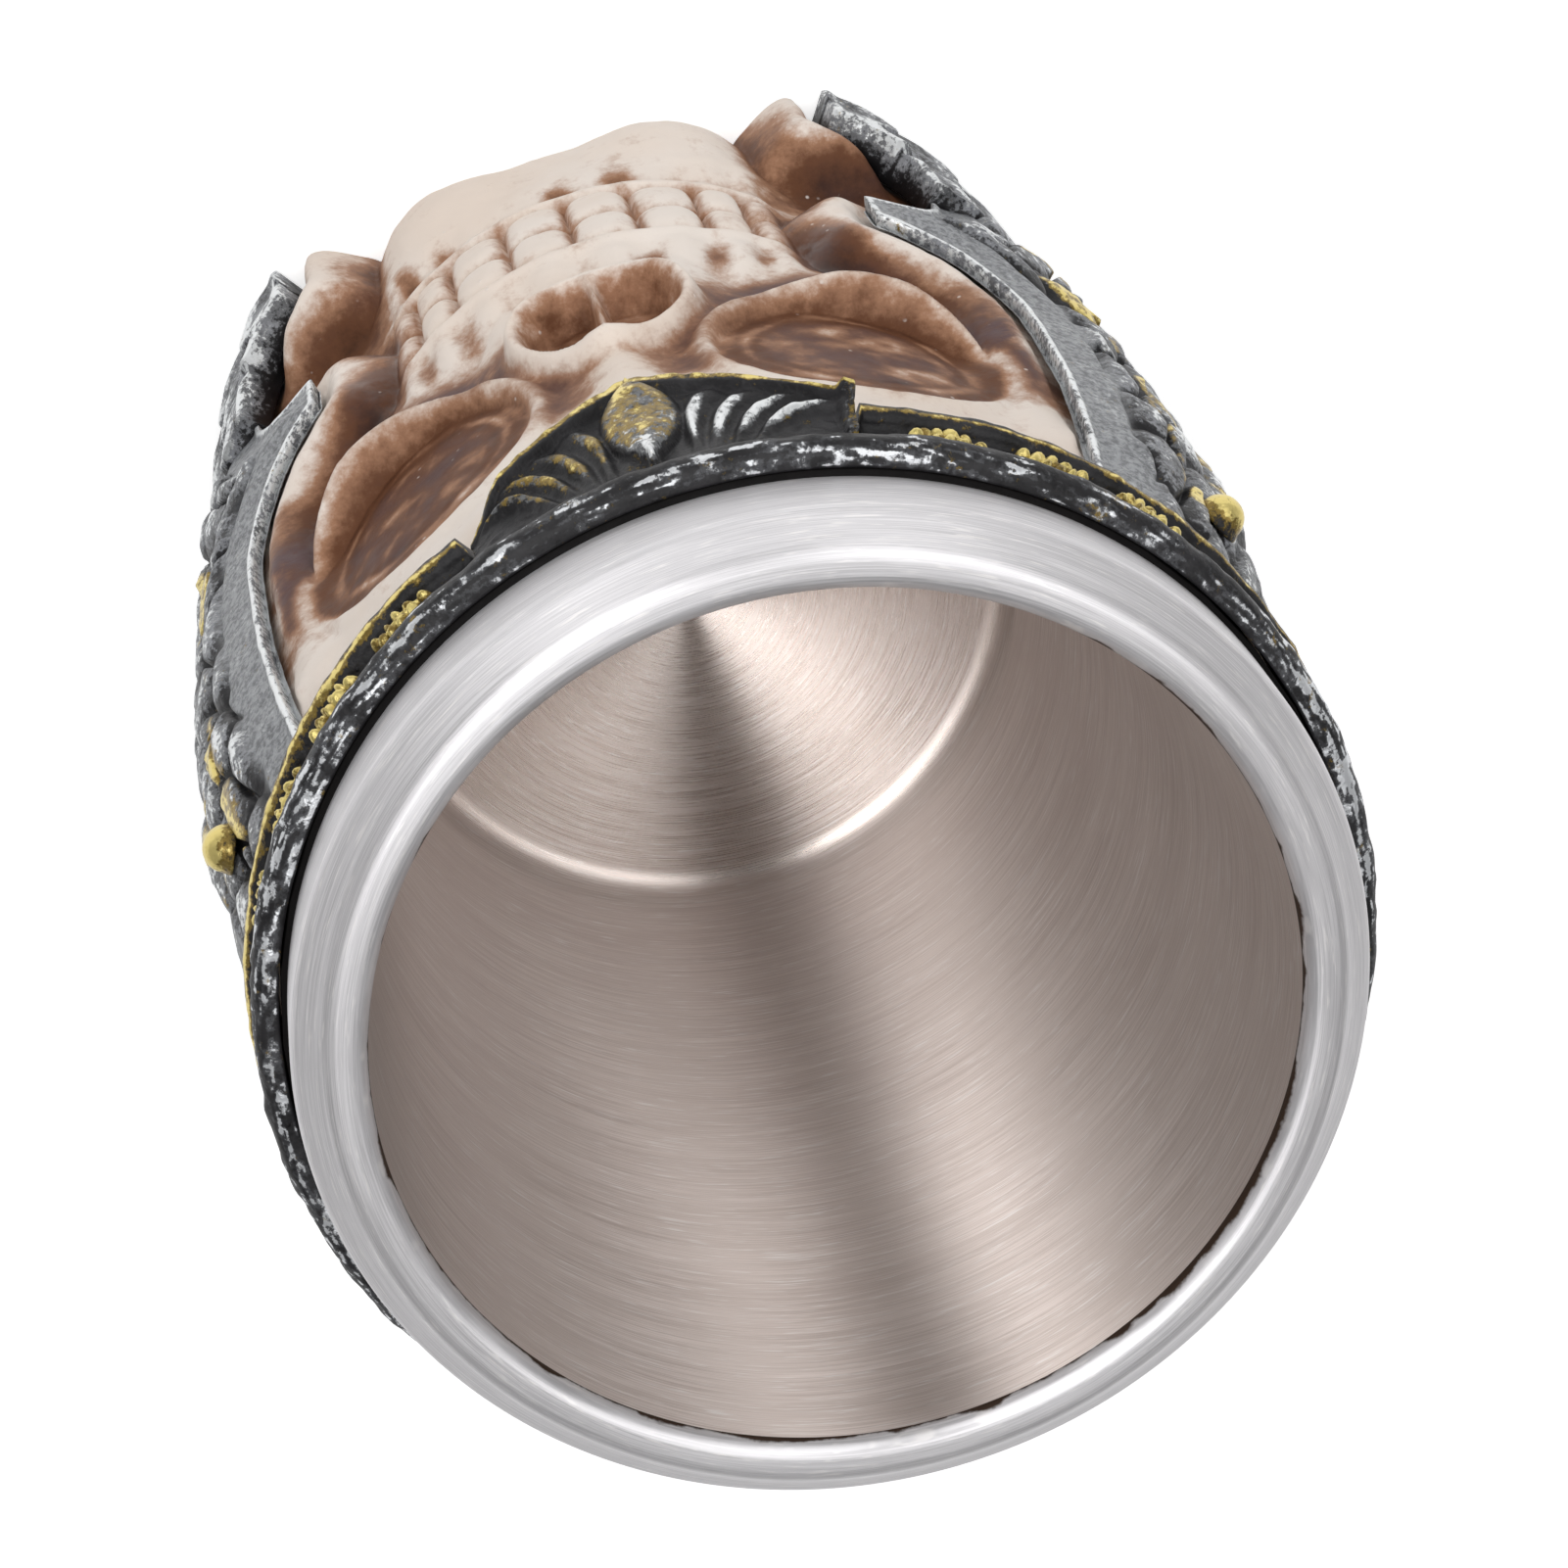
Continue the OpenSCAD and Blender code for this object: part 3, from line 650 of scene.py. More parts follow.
def nose(u, z):
    d = nose_place(u, z)
    v = np.clip((z - NOSE_Z) / (NOSE_H / 2), -1.2, 1.2)
    ring = (2.3 - 0.2 * v) * crest(d - 1.03, 0.15)
    hole = -4.4 * smooth(0.95, 0.76, d) * (1 - 0.85 * crest(u, 0.9))
    bridge = 1.5 * crest(u, 3.0) * smooth(NOSE_Z + 4, NOSE_Z + 8, z) * smooth(EYE_Z + 13, EYE_Z + 8, z)
    septum = 2.1 * crest(u, 0.75 - 0.35 * v) * smooth(1.04, 0.8, d)
    return ring + hole + bridge + septum


def socket_place(u, z):
    """Place in a socket, and the distance from its middle, 1 on its rim."""
    x = (u - EYE_U) / (EYE_W / 2)
    y = (z - EYE_Z) / (EYE_H / 2)
    return x, y, np.hypot(x, y)


def tool_marks(x, y, d):
    """Marks that run round a socket."""
    return flat_lumps(d * 22, np.degrees(np.arctan2(y, x)) * 0.05, 1.0, 9)


def eye(u, z):
    x, y, d = socket_place(u, z)
    cheek = 2.6 * dome(np.hypot((u - EYE_U - 5) / 15, (z - EYE_Z + EYE_H / 2 + 3) / 13)) * smooth(0.9, 1.05, d)
    rim = 1.7 * crest(d - 1.08, 0.09) * (0.62 - 0.4 * y / np.maximum(d, 0.1))
    ripple = 0.16 * tool_marks(x, y, d) * smooth(1.02, 0.94, d)
    bowl = -3.0 * smooth(1.03, 0.8, d) - 0.9 * smooth(0.8, 0.42, d)
    return cheek + rim + bowl + 0.45 * crest(d - 0.78, 0.04) + ripple


def flange(a, u, z):
    """The bone walls that climb to the guards' free edges, with a rounded knob at each tip."""
    away = -under_guard(a, z)
    cheek_wall = 4.9 * smooth(26, 31, z) * smooth(7, 2, away) * (1 - 0.62 * smooth(EYE_Z - 12, EYE_Z + 6, z))
    jaw_wall = 7.6 * smooth(18, 12, z) * smooth(9, 2.8, away)
    cheek_knob = 4.2 * np.sqrt(dome(reach(u, z, 26.2, EYE_Z - 36, 33, EYE_Z - 31) / 7.0))
    jaw_knob = 8.0 * smooth(7.0, 2.0, reach(u, z, 27.0, 5, 36, 6))
    climb = np.maximum(np.maximum(cheek_wall, jaw_wall), np.maximum(cheek_knob, jaw_knob))
    seat = BODY_R - 0.3 - GROUND_R
    return np.where(climb > seat, seat + (climb - seat) * smooth(-0.2, 2.4, away), climb)


def skin_radius(a, z):
    """Radius of the whole casting: the face, the brow, and the shoulder under the helmet."""
    t = np.abs(a)
    u = t * MM_PER_DEG
    wall = blur(flange(a, u, z), 36)
    body = np.maximum(jaw(u, z), gums(u, z)) + teeth(u, z) + nose(u, z)
    body = body + eye(u, z) * (1 - 0.75 * smooth(1, 4, wall))
    face = GROUND_R + np.maximum(body, wall * smooth(-1.2, 1.2, wall - body))
    brow = smooth(BAND_Z - 12, BAND_Z - 7, z)
    face = face * (1 - brow) + BROW_R * brow
    drawn_in = np.clip((z - BAND_Z + 0.5 + SHOULDER_H) / SHOULDER_H, 0, 1)
    shoulder = BODY_R - (BODY_R - BROW_R) * drawn_in
    face = toward(face, np.minimum(face, shoulder), smooth(-0.5, 0.3, under_guard(a, z)))
    skin = np.where(t > 49, shoulder, face)
    return np.where(z > BAND_Z - 0.3, NECK_R, skin)


def skull_wash_and_shade(a, z, r):
    """Where the brown wash (with painted shade added in hollows, in creases and on the wall under the guards), its
    mauve thin parts and the wet gloss lie on the skull.
    """
    t = np.abs(a)
    u = t * MM_PER_DEG
    x, y, d = socket_place(u, z)
    tooth_x, q = tooth_place(u, z)
    gap = np.abs(tooth_x)
    nd = nose_place(u, z)
    away = -under_guard(a, z)
    wall = flange(a, u, z)
    patchy = smooth(-0.6, 0.5, flat_lumps(a, z, 6.5, 8))
    cloud = flat_lumps(a, z * 1.2, 4.0, 10)
    mottle = flat_lumps(a, z * 1.4, 1.6, 11)
    toothed = smooth(TOOTH_EDGES[-1] + 2, TOOTH_EDGES[-1] - 2, u)

    # Broad soft tones
    # Painted shade: the wash darkens wherever the surface lies below its blurred surroundings, in every broad
    # hollow
    wash_and_shade = 0.03 + 0.28 * np.clip(blur(r, 160) - r, 0, 2.0)
    mouth_side = smooth(16.5, 24, u) * smooth(-2, 9, z) * smooth(58, 45, z)
    low_right = dome(reach(u, z, 27, 8, 30, 13) / 9)
    low_left = dome(reach(u, z, 24.5, 8, 27, 14) / 7.5)
    hollow = np.where(a < 0, low_right, low_left) + dome(reach(u, z, 23, 34, 25, 45) / 7)
    wash_and_shade = toward(wash_and_shade, 0.46 + 0.16 * cloud + 0.5 * hollow, mouth_side)
    valley = smooth(1.1, 1.3, nd) * smooth(1.04, 1.14, d) * smooth(21, 13, u)
    valley = valley * smooth(NOSE_Z - 9, NOSE_Z - 2, z) * (1 - crest(u, 4))
    wash_and_shade = toward(wash_and_shade, 0.54 + 0.1 * cloud, 0.9 * valley)
    under_eye = smooth(1.1, 1.2, d) * smooth(1.9, 1.4, d) * smooth(EYE_Z + 3, EYE_Z - 6, z) * smooth(10, 15, u)
    wash_and_shade = toward(wash_and_shade, 0.55 + 0.15 * cloud, 0.85 * under_eye)
    # Painted shade: the bone wall between the sockets and the guards' edge is painted dark brown where the guard's
    # edge shades it
    guard_wall_shade = smooth(1.1, 1.18, d) * smooth(32, 38, t) * smooth(37, 47, z) * smooth(EYE_Z + 10, EYE_Z, z)
    wash_and_shade = toward(wash_and_shade, 0.62 + 0.15 * cloud, guard_wall_shade)
    edge = smooth(3.6, 1.4, away) * smooth(30, 34, z) * smooth(EYE_Z + 10, EYE_Z - 6, z)
    wash_and_shade = toward(wash_and_shade, 0.17 + 0.12 * cloud, edge)
    tip = smooth(8, 3, reach(u, z, 27, EYE_Z - 36, 34, EYE_Z - 28)) * smooth(1.6, 3.2, wall)
    pale = np.maximum(tip, smooth(3.0, 5.2, wall - 1.8 * (a < 0)) * smooth(40, 30, z))
    wash_and_shade = toward(wash_and_shade, 0.03, pale)
    to_edge = 38 + 10 * smooth(EYE_Z + 8, EYE_Z + 14, z)
    clean = smooth(EYE_Z + 3, EYE_Z + 9, z) * smooth(1.02, 1.1, d) * smooth(7, 0, t - to_edge)
    wash_and_shade = blur(toward(wash_and_shade, 0.02, clean), 40)

    # Lines and spots
    # Painted shade: narrow creases darken the same way, partly as a wash that pools there
    wash_and_shade = wash_and_shade + 0.55 * np.clip(blur(r, 14) - r, 0, 0.8)
    # Painted shade: a dark brown line along the crease just outside each socket's rim
    trench = crest(d - 1.18, 0.05) * smooth(29, 36, t) * smooth(40, 48, z) * smooth(EYE_Z + 6, EYE_Z - 2, z)
    wash_and_shade = toward(wash_and_shade, 0.95, 0.7 * trench)
    blots = toothed * smooth(0.25, 0.9, gap) * smooth(0.35, 0.9, patchy)
    wash_and_shade = wash_and_shade + blots * (0.3 * crest(q - 1.75, 0.3) + 0.36 * crest(q + 1.9, 0.55))
    floor = 0.6 - 0.16 * smooth(2, -2, a) + 0.14 * cloud + 0.2 * mottle
    inside = toward(0.6 + 0.24 * tool_marks(x, y, d), floor, smooth(0.76, 0.68, d))
    inside = inside - 0.36 * crest(d - 0.79, 0.03) + 0.25 * crest(d - 0.72, 0.04)
    coats = ((0.55, 0.9 * toothed * smooth(0.82, 0.99, gap) * smooth(1.12, 0.92, np.abs(q))),
             (0.42, toothed * crest(q, 0.06)),
             (inside, smooth(1.06, 0.95, d)),
             (0.2, 0.8 * crest(d - 1.08, 0.05)),
             (0.47 + 0.1 * mottle, smooth(1.0, 0.94, nd)),
             (0.1, 0.85 * crest(u, 0.8) * smooth(1.0, 0.9, nd)),
             (0.04, 0.95 * crest(nd - 1.08, 0.1)),
             (0.05, 0.9 * clean * smooth(1.0, 1.07, d)))
    for tone, share in coats:
        wash_and_shade = toward(wash_and_shade, tone, share)
    wash_and_shade = np.clip(blur(wash_and_shade, 5), 0, 1.1)

    violet = 0.4 * guard_wall_shade * smooth(5, 2, away) + 0.85 * under_eye + 0.6 * valley
    violet = violet + 0.3 * mouth_side * smooth(0, 0.6, cloud)
    violet = violet + 0.6 * smooth(0.76, 0.66, d) * smooth(-0.5, 0.5, mottle + cloud)
    violet = violet + 0.6 * blots * crest(q - 1.75, 0.3)
    violet = blur(violet * smooth(0.15, 0.4, wash_and_shade) * (1 - np.maximum(pale, clean)), 12)
    wet = smooth(16, 20, u) * smooth(29, 25, u)
    wet = wet * smooth(BITE_Z - 9, BITE_Z - 3, z) * smooth(BITE_Z + 18, BITE_Z + 10, z)
    return wash_and_shade, np.clip(violet, 0, 1), wet


def make_skull():
    """One closed casting: a fine grid over the face, a coarse one behind, and the cup's bore."""
    face_az = np.arange(-52.0, 52.01, 0.4)
    back_az = np.arange(60.0, 300.01, 8.0)
    azimuths = np.concatenate([face_az, back_az, [308.0]])
    turned = np.where(azimuths > 180, azimuths - 360, azimuths)
    up_to_band = np.arange(FOOT_Z, BAND_Z - 0.6, 0.31)
    heights = np.concatenate([up_to_band, [BAND_Z - 0.31, BAND_Z - 0.29, 100.0, RESIN_TOP]])
    a, z = np.meshgrid(turned, heights)
    r = skin_radius(a, z)
    in_face = (np.abs(a) < 50) & (under_guard(a, z) < 0.3) & (z < BAND_Z - 0.5)
    x, y = plan(r, a)
    uneven = 0.1 * lumps(x, y, z, 3.1, 5) + 0.06 * lumps(x, y, z, 1.3, 6)
    r = r + np.where(in_face, uneven, 0)
    limit = FACE_Y / np.cos(np.radians(np.minimum(np.abs(a), 55)))
    over = r - limit + FACE_EASE
    r = np.where(over > 0, limit - FACE_EASE * np.exp(-np.maximum(over, 0) / FACE_EASE), r)

    def ring(radius, height):
        return polar(np.full(len(turned), radius), turned, np.full(len(turned), height))[None]

    pad_seat = PAD_T + FIT_GAP
    pad_edge = PAD_R + FIT_GAP
    points = np.concatenate([ring(0.0, pad_seat), ring(pad_edge, pad_seat), ring(pad_edge, FOOT_Z), polar(r, a, z),
                             ring(BORE_R, RESIN_TOP), ring(BORE_R, BORE_FLOOR), ring(0.0, BORE_FLOOR)])
    none = np.zeros((3, len(turned)))
    masks = [(key, np.concatenate([none, values, none]))
             for key, values in zip(("wash_and_shade", "violet", "wet"), skull_wash_and_shade(a, z, r))]
    # Painted shade: the casting's top in the gap under the rim is painted black, and so is the hidden bore
    masks.append(("gap_shade", np.concatenate([none, (z > BAND_Z + 3) * 1.0, none + 1])))
    settle(grid_sheet("skull_bone", points, masks, closed=True), "skull", BONE)


# The helmet
def shell_radius(z, out=0.0):
    """Outer line of the helmet: nearly upright sides that draw in to a shoulder under the band."""
    top = BAND_Z - 0.5
    side = top - FOOT_Z
    top_r = BROW_R + 1.2
    turn = np.radians(22.5 * np.arange(5))
    shoulder_z = top - SHOULDER_H + SHOULDER_H * np.sin(turn)
    shoulder_r = top_r + (SHELL_R + out - top_r) * np.cos(turn) ** 2
    heights = [FOOT_Z, FOOT_Z + 0.2 * side, FOOT_Z + 0.45 * side, *shoulder_z]
    radii = [SHELL_R - 0.9 + out, SHELL_R + out, SHELL_R + 0.2 + out, *shoulder_r]
    return np.interp(z, heights, radii)


def jaw_face(a):
    """Radius of the jaw guards' outer face, which is round about a point in front of the cup's axis."""
    shift = JAW_SHIFT * np.cos(np.radians(np.abs(a) + 20))
    return shift + np.sqrt(JAW_R ** 2 - JAW_SHIFT ** 2 + shift ** 2)


def edge_azimuth(z):
    """Azimuth of the guards' free edge at a height."""
    dz = z - SWEEP_Z
    sweep = np.where(dz > 0, GUARD_EDGE, SWEEP_S + np.sqrt(np.clip(SWEEP_R ** 2 - dz * dz, 0, None)))
    sweep = np.where((dz < 0) & (np.abs(dz) > SWEEP_R), GUARD_TIP, sweep)
    dn = z - NOTCH_Z
    notch = NOTCH_S + np.sqrt(np.clip(NOTCH_R ** 2 - dn * dn, 0, None))
    notch = np.where(np.abs(dn) < NOTCH_R, notch, GUARD_TIP)
    s = np.maximum(np.maximum(sweep, notch), GUARD_TIP)
    return GUARD_AZ + np.degrees(np.arcsin(s / SHELL_R))


def make_guard(side, name, node, low, high, jaw_plate):
    """A jaw plate of lapped lames, or a cheek plate with a plain strip and cast bosses behind it."""
    z = np.linspace(low, high, int((high - low) / GUARD_ROW) + 1)[:, None]
    start = edge_azimuth(z)
    a = start + (BOWL_AZ - 0.4 - start) * np.linspace(0, 1, GUARD_COLUMNS + 1)[None, :]
    z = np.broadcast_to(z, a.shape)
    inside = np.maximum(under_guard(a, z), 0)
    arc_mm = (a - GUARD_AZ) * MM_PER_DEG
    rough = flat_lumps(arc_mm, z, 2.6, 21 + side) * 0.5 + flat_lumps(arc_mm, z, 1.1, 22 + side) * 0.3
    if jaw_plate:
        base = jaw_face(a) - 0.8
        lame = (arc_mm + 10.5 + 1.4 * np.cos(z * 2 * np.pi / LAME)) / LAME
        lift = lame - np.floor(lame)
        relief = -0.7 + 1.2 * lift ** 0.7 - 1.0 * smooth(0.88, 1.0, lift)
        relief = relief + 0.16 * rough + 0.4 * crest(inside - 0.6, 0.7)
        raised = 0.45 + 0.07 * side + 0.4 * smooth(0.45, 0.8, lift)
        raised = raised + 0.5 * crest(inside - 0.5, 0.8) + 0.2 * rough
        # Dark where each lame laps under the next: partly the black ground, partly painted shade under the lapped
        # edge
        pit = smooth(0.88, 0.96, lift) + smooth(0.16, 0.04, lift) * smooth(3, 5, inside)
        gold = plain = 0.0 * inside
    else:
        base = shell_radius(z)
        lump = bosses(inside, arc_mm, z, rough, 24 + side, 26 + side)
        outer = smooth(5.0, 6.6, inside + 0.9 * flat_lumps(arc_mm, z, 5.0, 25 + side))
        relief = -0.7 + 1.0 * smooth(0.4, 5.5, inside) + 0.25 * crest(inside - 0.4, 0.45)
        relief = relief + outer * (1.5 * lump - 0.55) + (0.08 + 0.3 * outer) * rough
        strip = 0.55 + 0.5 * crest(inside - 0.35, 0.4) + 0.14 * rough
        plain = (1 - outer) * smooth(0.5, 1.0, inside)
        raised = strip * (1 - outer) + outer * (1.2 * lump - 0.5 + 0.45 * rough)
        pit = 0.4 * outer * smooth(0.25, 0.05, lump)
        spots = smooth(-0.1, 0.3, flat_lumps(arc_mm, z, 5.0, 31 + side))
        gold = smooth(8, 11, inside) * spots * smooth(0.35, 0.75, lump)
    masks = [("raised", np.clip(raised - 0.9 * pit, -0.6, 1.2)), ("gold", np.clip(gold, 0, 1) - 0.15),
             ("plain", plain)]
    r = base + relief
    if jaw_plate:
        a, z = np.pad(a, 1, mode="edge"), np.pad(z, 1, mode="edge")
        r = np.pad(r, 1, constant_values=BODY_R + FIT_GAP + 0.3)
        masks = [(key, np.pad(values, 1, constant_values=0.0 if key == "plain" else -0.3))
                 for key, values in masks]
    obj = grid_sheet(name, polar(r, a * side, z), masks)
    thicken(obj, 0.25 if jaw_plate else 1.4)
    settle(obj, node, PLATE_SILVER)


def make_bowl():
    """Sides and back of the helmet, with a worked border next to the guards and a plain spine."""
    azimuths = np.linspace(BOWL_AZ, 360 - BOWL_AZ, BOWL_COLUMNS)
    a, z = np.meshgrid(azimuths, np.linspace(FOOT_Z, BAND_Z - 0.55, BOWL_ROWS))
    from_end = np.minimum(a - BOWL_AZ, 360 - BOWL_AZ - a)
    arc_mm = a * MM_PER_DEG
    upright = smooth(19.2, 20.2, z) * smooth(93.6, 92.6, z)
    border = smooth(0.3, 1.1, from_end) * smooth(0.9 + BORDER_AZ, 0.1 + BORDER_AZ, from_end) * upright
    ragged = from_end + 0.6 * flat_lumps(arc_mm, z, 5.0, 46)
    worked = border * smooth(BORDER_AZ + 0.6, BORDER_AZ - 0.8, ragged)
    spine = smooth(5.3, 4.6, np.abs(a - 180)) * upright
    rough = flat_lumps(arc_mm, z, 2.8, 41) * 0.5 + flat_lumps(arc_mm, z, 1.2, 42) * 0.3
    lump = bosses(arc_mm, arc_mm, z, rough, 44, 45) * worked
    base = toward(shell_radius(z, -BOWL_DROP), shell_radius(z, RIB_RISE), np.maximum(border, spine))
    relief = -0.2 + (0.2 + 0.1 * worked) * rough + worked * (1.1 * lump - 0.5)
    raised = 0.38 + 0.35 * rough + 0.12 * spine + 0.15 * flat_lumps(arc_mm, z, 14.0, 47)
    raised = raised + worked * (0.9 * lump - 0.5)
    spots = smooth(0.0, 0.35, flat_lumps(arc_mm, z, 6.5, 43)) * smooth(40, 70, z)
    gold = np.clip(spots * smooth(0.3, 0.7, lump), 0, 1) - 0.15
    masks = [("raised", np.clip(raised, -0.5, 1.1)), ("gold", gold), ("plain", 0.38 * (1 - worked))]
    obj = grid_sheet("helmet_back", polar(base + relief, a, z), masks)
    thicken(obj, 1.0)
    settle(obj, "helmet_bowl", PLATE_SILVER)


def make_studs():
    """Two gold beads, each on a small collar."""
    seat_z = BAND_Z - 10
    seat_r = float(shell_radius(seat_z - 2.3, RIB_RISE)) + FIT_GAP
    made = []
    for side in (-1, 1):
        deselect()
        bpy.ops.mesh.primitive_uv_sphere_add(segments=40, ring_count=24, radius=STUD_R * MM)
        bead = bpy.context.active_object
        co = np.array([v.co for v in bead.data.vertices]) / MM
        out = np.clip(co[:, 2], -0.6, None)
        flare = 1 + 0.12 * smooth(0.3, -0.5, co[:, 2]) + 0.02 * lumps(co[:, 0], co[:, 1], co[:, 2], 1.2, 51)
        a = math.radians(side * (BOWL_AZ + 2.6))
        normal = np.array([math.sin(a), -math.cos(a), 0])
        level = np.array([math.cos(a), math.sin(a), 0])
        seat = seat_r * normal + [0, 0, seat_z]
        placed = seat + np.outer(co[:, 0] * flare, level) + np.outer(co[:, 1] * flare, [0, 0, 1])
        move_points(bead.data, (placed + np.outer(out, normal)) * MM)
        paint(bead.data, [("raised", np.full(len(co), 0.1)), ("gold", 0.45 + 0.6 * smooth(0.0, 1.2, out))])
        made.append(bead)
    settle(join_all(made, "temple_studs"), "studs", LEAF_GOLD)


# The brow band
def make_band():
    """The black ring: a bead on top with silver streaks that are partly painted highlight, a channel, and a ridge
    with gold on its upper side.
    """
    bead_low = RESIN_TOP - BEAD_H
    ridge_top = BAND_Z + RIDGE_H
    bead = arc(BEAD_R - BEAD_H / 2, RESIN_TOP - BEAD_H / 2, BEAD_H / 2, 90, -90, 40)
    ridge = arc(BEAD_R + 0.4 - RIDGE_H / 2, BAND_Z + RIDGE_H / 2, RIDGE_H / 2, 90, -90, 25)
    line = [(BAND_R, RESIN_TOP - 0.05), (BAND_R + 0.25, RESIN_TOP)] + bead
    line += [(CHANNEL_R, bead_low - 0.2)]
    line += [(CHANNEL_R, z) for z in np.linspace(bead_low - 0.7, ridge_top + 0.5, 7)]
    line += [(CHANNEL_R + 0.15, ridge_top + 0.1)] + ridge
    line += [(BAND_R, BAND_Z), (BAND_R, (BAND_Z + RESIN_TOP) / 2)]
    line = np.array(line + [line[0]])
    azimuths = np.arange(-180, 180.01, 0.5)
    a, r = np.meshgrid(azimuths, line[:, 0])
    z = np.meshgrid(azimuths, line[:, 1])[1]
    on_bead = (z > bead_low - 0.05) & (r > BAND_R + 0.1)
    window = 1 - smooth(PALM_AZ + 0.4, PALM_AZ + 0.9, np.abs(a))
    below = z < bead_low - 0.05
    r = np.where(below, r + (np.minimum(r, BAND_R + 0.3) - r) * window, r)
    px, py = plan(r, a)
    rough = lumps(px, py, z, 2.4, 61) * 0.16 + lumps(px, py, z, 1.0, 62) * 0.1
    outer = smooth(BAND_R + 0.3, BAND_R + 0.9, r)
    r = r + np.where(on_bead | (r > CHANNEL_R - 0.05), rough * outer - 0.12 * outer, 0)
    turn = np.degrees(np.arctan2(z - RESIN_TOP + BEAD_H / 2, r - BEAD_R + BEAD_H / 2))
    along = a * BEAD_R * math.pi / 180
    streak = 0.8 * flat_lumps(along, turn / 9, 1.0, 63) + 0.6 * flat_lumps(along / 3.5, turn / 24, 1.0, 65)
    flecks = lumps(px, py, z, 4.5, 63) * 0.22 + lumps(px, py, z, 1.6, 64) * 0.2
    # Partly painted highlight: the silver streaks and flecks go on the bead's outer and upper side, which faces
    # the lamps; the rest is its silver dry brush
    lamp_side = smooth(-40, 10, turn) * smooth(165, 130, turn)
    slow = flat_lumps(along / 16, z * 0, 1.0, 67)
    raised = np.where(on_bead, -0.25 + lamp_side * (0.72 + 0.25 * slow + 0.8 * streak), -0.15 + flecks * 0.6)
    on_ridge = smooth(BEAD_R - 0.6, BEAD_R, r) * (z < ridge_top + 0.2)
    ridge_turn = np.degrees(np.arctan2(z - BAND_Z - RIDGE_H / 2, r - BEAD_R - 0.4 + RIDGE_H / 2))
    gold_width = 17 + 8 * flat_lumps(along / 14, z * 0, 1.0, 66)
    gold = on_ridge * (0.85 + 0.8 * flecks) * crest(ridge_turn - 25, gold_width)
    gold = gold + on_ridge * smooth(18, 26, a) * smooth(88, 74, a) * (0.4 + 1.3 * flecks)
    masks = [("raised", np.clip(raised, -0.5, 1)), ("gold", np.clip(gold, 0, 1) - 0.1)]
    obj = grid_sheet("brow_band_cast", polar(r, a, z), masks, closed=True)
    settle(obj, "brow_band", BAND_BLACK)


# Lobes of one sprig, the stem leaf first: place along and up, half length, half width and lean
SPRIG_LOBES = (
    (0.0, -0.2, 2.8, 0.4, 0.12), (1.9, 0.75, 0.95, 0.42, 0.9), (0.9, 0.7, 0.9, 0.4, 1.1),
    (-0.2, 0.75, 0.95, 0.42, 0.8), (-1.3, 0.6, 0.8, 0.38, 1.0), (1.3, -0.75, 0.9, 0.4, -0.9),
    (0.2, -0.9, 0.8, 0.38, -1.1), (-1.0, -0.8, 0.9, 0.4, -0.7), (2.7, 0.1, 0.7, 0.45, 0.3),
    (-2.4, -0.3, 0.8, 0.4, -0.4))


def make_leaves():
    """Sprigs in the channel: a long stem leaf and nine small lobes each, every other one flipped."""
    free = 360 - 2 * PALM_AZ - 8
    count = int(free // SPRIG_AZ)
    mid_z = (BAND_Z + RIDGE_H + RESIN_TOP - BEAD_H) / 2
    deselect()
    bpy.ops.mesh.primitive_uv_sphere_add(segments=12, ring_count=8, radius=1)
    first = bpy.context.active_object
    ball = np.array([v.co for v in first.data.vertices])
    made = []
    for k in range(count):
        middle = PALM_AZ + 4 + (k + 0.5) * free / count
        proud = 1.05 + 0.4 * chance(k * 2.3, 0.5, 72)
        flip = 1 if k % 2 == 0 else -1
        for n, (du, dv, long, wide, lean) in enumerate(SPRIG_LOBES):
            jitter = chance(k * 3.7, n * 5.1, 71)
            c, s = math.cos(lean + 0.3 * jitter), math.sin(lean + 0.3 * jitter)
            size = 1 + 0.18 * jitter
            lx, ly = ball[:, 0] * long * size * 1.1, ball[:, 1] * wide * size * 1.25
            u = du + c * lx - s * ly
            v = np.clip((dv + s * lx + c * ly) * flip * 0.88, -1.55, 1.55)
            bow = 0.05 * u * u * flip
            tall = 1.1 if n == 0 else 1.3 + 0.25 * jitter
            r = CHANNEL_R - 0.1 + np.maximum(ball[:, 2], -0.4) * tall * proud
            lobe = first.copy()
            lobe.data = first.data.copy()
            bpy.context.collection.objects.link(lobe)
            azimuth = middle + u / (CHANNEL_R * math.pi / 180)
            move_points(lobe.data, polar(r, azimuth, mid_z + v - bow + 0.15 * flip))
            shine = 0.15 + 0.8 * smooth(0.1, 0.8, ball[:, 2]) + 0.4 * jitter
            paint(lobe.data, [("raised", np.full(len(ball), 0.25)), ("gold", np.clip(shine, 0, 1.1))])
            made.append(lobe)
    bpy.data.objects.remove(first)
    settle(join_all(made, "band_sprigs"), "band_leaves", LEAF_GOLD)


